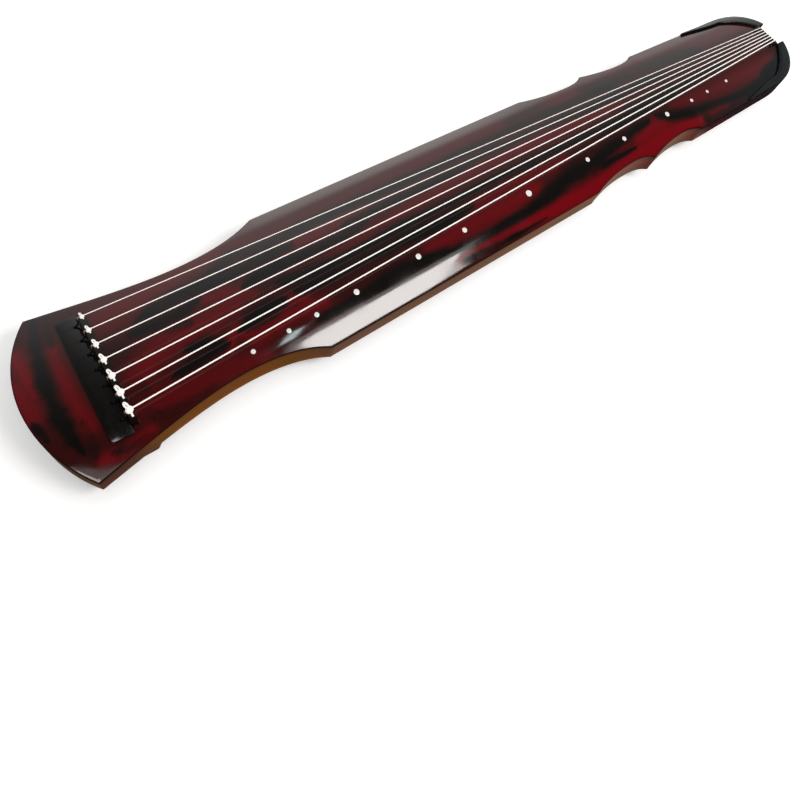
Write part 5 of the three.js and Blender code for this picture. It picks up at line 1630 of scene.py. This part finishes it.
def build_stage(settings):
    scene = bpy.context.scene
    mesh = bpy.data.meshes.new("stage_floor")
    reach = settings.floor_reach
    corners = [(-reach, -reach, 0), (reach, -reach, 0), (reach, reach, 0), (-reach, reach, 0)]
    mesh.from_pydata(corners, [], [(0, 1, 2, 3)])
    mesh.materials.append(floor_material(settings))
    linked("stage_floor", mesh)
    build_world(settings)
    panel_light(
        "window", settings.window_place, WINDOW_TURN, settings.window_size,
        settings.window_power, WINDOW_COLOR)
    for light in MIRRORED_LIGHTS:
        panel_light(*light).visible_diffuse = False
    panel_light(
        "overhead", settings.overhead_place, 0, settings.overhead_size,
        settings.overhead_power, (1.0, 0.99, 0.97)).visible_glossy = False
    data = bpy.data.cameras.new("camera")
    data.lens = settings.lens
    data.sensor_width = 36
    data.shift_x, data.shift_y = settings.shift_x, settings.shift_y
    data.clip_start, data.clip_end = 0.02, 60
    scene.camera = linked("camera", data)
    axes = (settings.camera_right, settings.camera_up, settings.camera_back)
    scene.camera.rotation_mode = "QUATERNION"
    scene.camera.rotation_quaternion = Matrix(axes).transposed().to_quaternion()
    scene.camera.location = settings.camera_place
    scene.view_settings.view_transform = "Standard"


# ---------------------------------------------------------------- settings


def setting(kind, name, text, default, low=None, high=None, **more):
    """A property with its name, description and limits."""
    limits = {} if low is None else {"min": low, "max": high}
    make = getattr(bpy.props, kind + "Property")
    return make(name=name, description=text, default=default, **limits, **more)


metres = partial(setting, "Float", subtype="DISTANCE", unit="LENGTH", precision=5)
ratio = partial(setting, "Float", subtype="FACTOR")
amount = partial(setting, "Float", subtype="NONE")
number = partial(setting, "Int", subtype="UNSIGNED")
paint = partial(setting, "FloatVector", low=0, high=1, size=3, subtype="COLOR")
spot = partial(setting, "FloatVector", size=3, subtype="TRANSLATION", unit="LENGTH")
heading = partial(setting, "FloatVector", size=3, subtype="DIRECTION")
extent = partial(setting, "FloatVector", size=2, subtype="XYZ", unit="LENGTH")


class GuqinBodySettings(bpy.types.PropertyGroup):
    spacing: metres("Spacing", "Distance between points round the edge", 0.004, 0.002, 0.02)
    arch_rows: number("Arch rows", "Rows of faces from the edge to the spine", 22, 6, 60)
    seed: number("Seed", "Chooses the strokes of the underside", 11, 0, 999)
    stroke_count: number("Strokes", "How many strokes the underside has", 60, 0, 300)
    raggedness: ratio("Raggedness", "How far the clouds' edges drift", 1.8, 0.0, 4.0)
    rim: ratio("Rim", "How dark the line along the edge is", 0.9, 0.0, 1.0)
    crimson: paint("Crimson", "Where the lacquer is rubbed bright", (0.155, 0.0022, 0.0058))
    deep_red: paint("Deep red", "Where the lacquer is dull", (0.03, 0.0045, 0.004))
    black: paint("Black", "Clouds in the lacquer", (0.0045, 0.0038, 0.0035))


class GuqinTrimSettings(bpy.types.PropertyGroup):
    ease: metres("Eased edge", "Rounding of the hardwood's edges", 0.0006, 0.0001, 0.002)
    spacing: metres("Spacing", "Distance between points round the tail", 0.002, 0.001, 0.01)
    stations: number("Stations", "Sections along each crown corner", 110, 20, 400)


class GuqinPegSettings(bpy.types.PropertyGroup):
    sides: number("Sides", "Faces round each turned piece", 72, 16, 160)
    flutes: number("Flutes", "Hollows cut along each peg", 8, 0, 24)
    flute_depth: ratio("Flute depth", "The hollows' depth over the radius", 0.07, 0.0, 0.3)


class GuqinMarkerSettings(bpy.types.PropertyGroup):
    proud: metres("Proud", "How far the shell stands above the lacquer", 0.00015, 0.0, 0.0005)
    size: ratio("Size", "Size of the markers, as a share of the measured one", 1.0, 0.5, 1.2)
    sides: number("Sides", "Points round each marker", 40, 12, 96)


class GuqinStringSettings(bpy.types.PropertyGroup):
    knot_fullness: amount("Knot fullness", "The knot's thickness over the string's", 1.35, 1.0, 2.0)
    wraps: amount("Wraps", "Turns round the middle of each knot", 4.5, 0.5, 8.0)
    sides: number("Sides", "Faces round each string", 12, 5, 24)


class GuqinCordSettings(bpy.types.PropertyGroup):
    radius: metres("Radius", "Radius of a silk cord", 0.0011, 0.0005, 0.002)
    pitch: metres("Pitch", "Length of one turn of the strands", 0.006, 0.002, 0.02)
    strands: number("Strands", "Strands laid together in a cord", 3, 2, 5)


class GuqinStageSettings(bpy.types.PropertyGroup):
    floor_reach: metres("Floor reach", "Half the width of the paper floor", 12.0, 1.0, 50.0)
    floor_lift: ratio("Floor lift", "White added to the floor for the camera alone", 0.35, 0.0, 1.0)
    floor_mirrored: paint("Floor mirrored", "Floor as the lacquer mirrors it", (0.52, 0.34, 0.21))
    neck_mirrored: paint("Neck mirrored", "The same beside the neck", (0.72, 0.32, 0.07))
    head_mirrored: paint("Head mirrored", "The same beside the head", (0.26, 0.18, 0.12))
    waist_mirrored: paint("Waist mirrored", "The same beside the waist", (0.4, 0.32, 0.22))
    tail_mirrored: paint("Tail mirrored", "The same beside the tail", (0.04, 0.028, 0.038))
    room_lean: heading("Room lean", "Where the room grows paler", (2.48, 4.02, 1.16))
    room_level: amount("Room level", "Paleness of the room, as a power of e", -4.33, -20.0, 20.0)
    room_most: amount("Room limit", "Most that the upper part of the room gives", 1.05, 0.0, 10.0)
    room_low: amount("Room low", "What the pale band low on the far side adds", 1.45, 0.0, 10.0)
    room_tail: amount("Room beyond the tail", "What the cool patch there adds", 0.34, 0.0, 10.0)
    room_fill: amount("Room fill", "Soft light from all round", 0.3, 0.0, 5.0)
    window_place: spot("Window place", "Middle of the near edge's window", (0.53, -1.01, 2.0))
    window_size: extent("Window size", "Width and height of the window", (0.9, 0.56))
    window_power: amount("Window power", "Light of the window, in watts", 29.0, 0.0, 2000.0)
    overhead_place: spot("Overhead place", "Middle of the soft light above", (0.1, 0.3, 3.0))
    overhead_size: extent("Overhead size", "Width and height of the soft light above", (3.0, 2.4))
    overhead_power: amount("Overhead power", "The same light's power, in watts", 31.0, 0.0, 2000.0)
    lens: setting(
        "Float", "Lens", "Focal length of the camera", 33.36, 10, 200,
        subtype="DISTANCE_CAMERA", unit="CAMERA")
    shift_x: amount("Shift across", "How far the picture is shifted right", 0.0275, -1.0, 1.0)
    shift_y: amount("Shift upwards", "How far the picture is shifted up", -0.199, -1.0, 1.0)
    camera_place: spot("Camera place", "Where the camera stands", (-0.52787, -0.34256, 0.85672))
    camera_right: heading("Camera right", "The camera's right", (0.82559, -0.54786, 0.13508))
    camera_up: heading("Camera up", "The camera's up", (0.41862, 0.7552, 0.50442))
    camera_back: heading("Camera back", "Away from what it looks at", (-0.37836, -0.3599, 0.85283))


def pointer(name, text, kind):
    return bpy.props.PointerProperty(name=name, description=text, type=kind)


class GuqinSettings(bpy.types.PropertyGroup):
    body: pointer("Body", "The lacquered body", GuqinBodySettings)
    trim: pointer("Trim", "Ridge, plates, nuts and crowns", GuqinTrimSettings)
    pegs: pointer("Pegs", "Turned pegs, feet and guards", GuqinPegSettings)
    markers: pointer("Markers", "Shell markers", GuqinMarkerSettings)
    strings: pointer("Strings", "Strings and knots", GuqinStringSettings)
    cords: pointer("Cords", "Silk cords", GuqinCordSettings)
    stage: pointer("Stage", "Floor, lights and camera", GuqinStageSettings)


# ---------------------------------------------------------------- operators and panel


class GUQIN_OT_body(bpy.types.Operator):
    """Build the arched body in clouded lacquer, with its hollow, sound holes and peg pool"""

    bl_idname = "guqin.body"
    bl_label = "Lacquered body"

    def execute(self, context):
        build_body(context.scene.guqin.body)
        return {"FINISHED"}


class GUQIN_OT_bridge(bpy.types.Operator):
    """Build the ridge, the plate behind it and the plate in the peg pool"""

    bl_idname = "guqin.bridge"
    bl_label = "Bridge and plates"

    def execute(self, context):
        build_bridge(context.scene.guqin.trim)
        return {"FINISHED"}


class GUQIN_OT_tail(bpy.types.Operator):
    """Build the two nuts and the crown corners of the tail"""

    bl_idname = "guqin.tail"
    bl_label = "Nuts and crown corners"

    def execute(self, context):
        build_nuts(context.scene.guqin.trim)
        build_crowns(context.scene.guqin.trim)
        return {"FINISHED"}


class GUQIN_OT_pegs(bpy.types.Operator):
    """Build the seven tuning pegs, each on its own body"""

    bl_idname = "guqin.pegs"
    bl_label = "Tuning pegs"

    def execute(self, context):
        build_pegs(context.scene.guqin.pegs)
        return {"FINISHED"}


class GUQIN_OT_feet(bpy.types.Operator):
    """Build the goose feet and the guards beside the pegs"""

    bl_idname = "guqin.feet"
    bl_label = "Feet and guards"

    def execute(self, context):
        build_feet(context.scene.guqin.pegs)
        return {"FINISHED"}


class GUQIN_OT_markers(bpy.types.Operator):
    """Set the thirteen shell markers along the near side"""

    bl_idname = "guqin.markers"
    bl_label = "Shell markers"

    def execute(self, context):
        build_markers(context.scene.guqin.markers)
        return {"FINISHED"}


class GUQIN_OT_strings(bpy.types.Operator):
    """Stretch the seven strings from their knots over the nuts to the feet"""

    bl_idname = "guqin.strings"
    bl_label = "Strings"

    def execute(self, context):
        build_strings(context.scene.guqin.strings)
        return {"FINISHED"}


class GUQIN_OT_cords(bpy.types.Operator):
    """Lay the twisted silk cords from the pegs over the ridge"""

    bl_idname = "guqin.cords"
    bl_label = "Silk cords"

    def execute(self, context):
        build_cords(context.scene.guqin.cords)
        return {"FINISHED"}


class GUQIN_OT_posts(bpy.types.Operator):
    """Give the sound posts inside the body their bare wood"""

    bl_idname = "guqin.posts"
    bl_label = "Sound posts"

    def execute(self, context):
        wood = bare_wood()
        for name in ("sound_post_round", "sound_post_square"):
            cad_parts[name].data.materials.clear()
            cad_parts[name].data.materials.append(wood)
        return {"FINISHED"}


class GUQIN_OT_stage(bpy.types.Operator):
    """Set up the white floor, the soft room, the lights and the camera"""

    bl_idname = "guqin.stage"
    bl_label = "Stage"

    def execute(self, context):
        build_stage(context.scene.guqin.stage)
        return {"FINISHED"}


OPERATORS = (
    GUQIN_OT_body, GUQIN_OT_bridge, GUQIN_OT_tail, GUQIN_OT_pegs, GUQIN_OT_feet,
    GUQIN_OT_markers, GUQIN_OT_strings, GUQIN_OT_cords, GUQIN_OT_posts, GUQIN_OT_stage,
)


class GUQIN_PT_panel(bpy.types.Panel):
    """Lists the steps that build the guqin"""

    bl_label = "Guqin"
    bl_idname = "GUQIN_PT_panel"
    bl_space_type = "VIEW_3D"
    bl_region_type = "UI"
    bl_category = "Guqin"

    def draw(self, context):
        for operator in OPERATORS:
            self.layout.operator(operator.bl_idname)


CLASSES = (
    GuqinBodySettings, GuqinTrimSettings, GuqinPegSettings, GuqinMarkerSettings,
    GuqinStringSettings, GuqinCordSettings, GuqinStageSettings, GuqinSettings,
    *OPERATORS, GUQIN_PT_panel,
)


def register():
    for kind in CLASSES:
        bpy.utils.register_class(kind)
    bpy.types.Scene.guqin = bpy.props.PointerProperty(
        name="Guqin", description="Settings of the guqin", type=GuqinSettings)


def unregister():
    del bpy.types.Scene.guqin
    for kind in reversed(CLASSES):
        bpy.utils.unregister_class(kind)


def main():
    register()
    for operator in OPERATORS:
        family, name = operator.bl_idname.split(".")
        getattr(getattr(bpy.ops, family), name)()


if __name__ == "__main__":
    main()
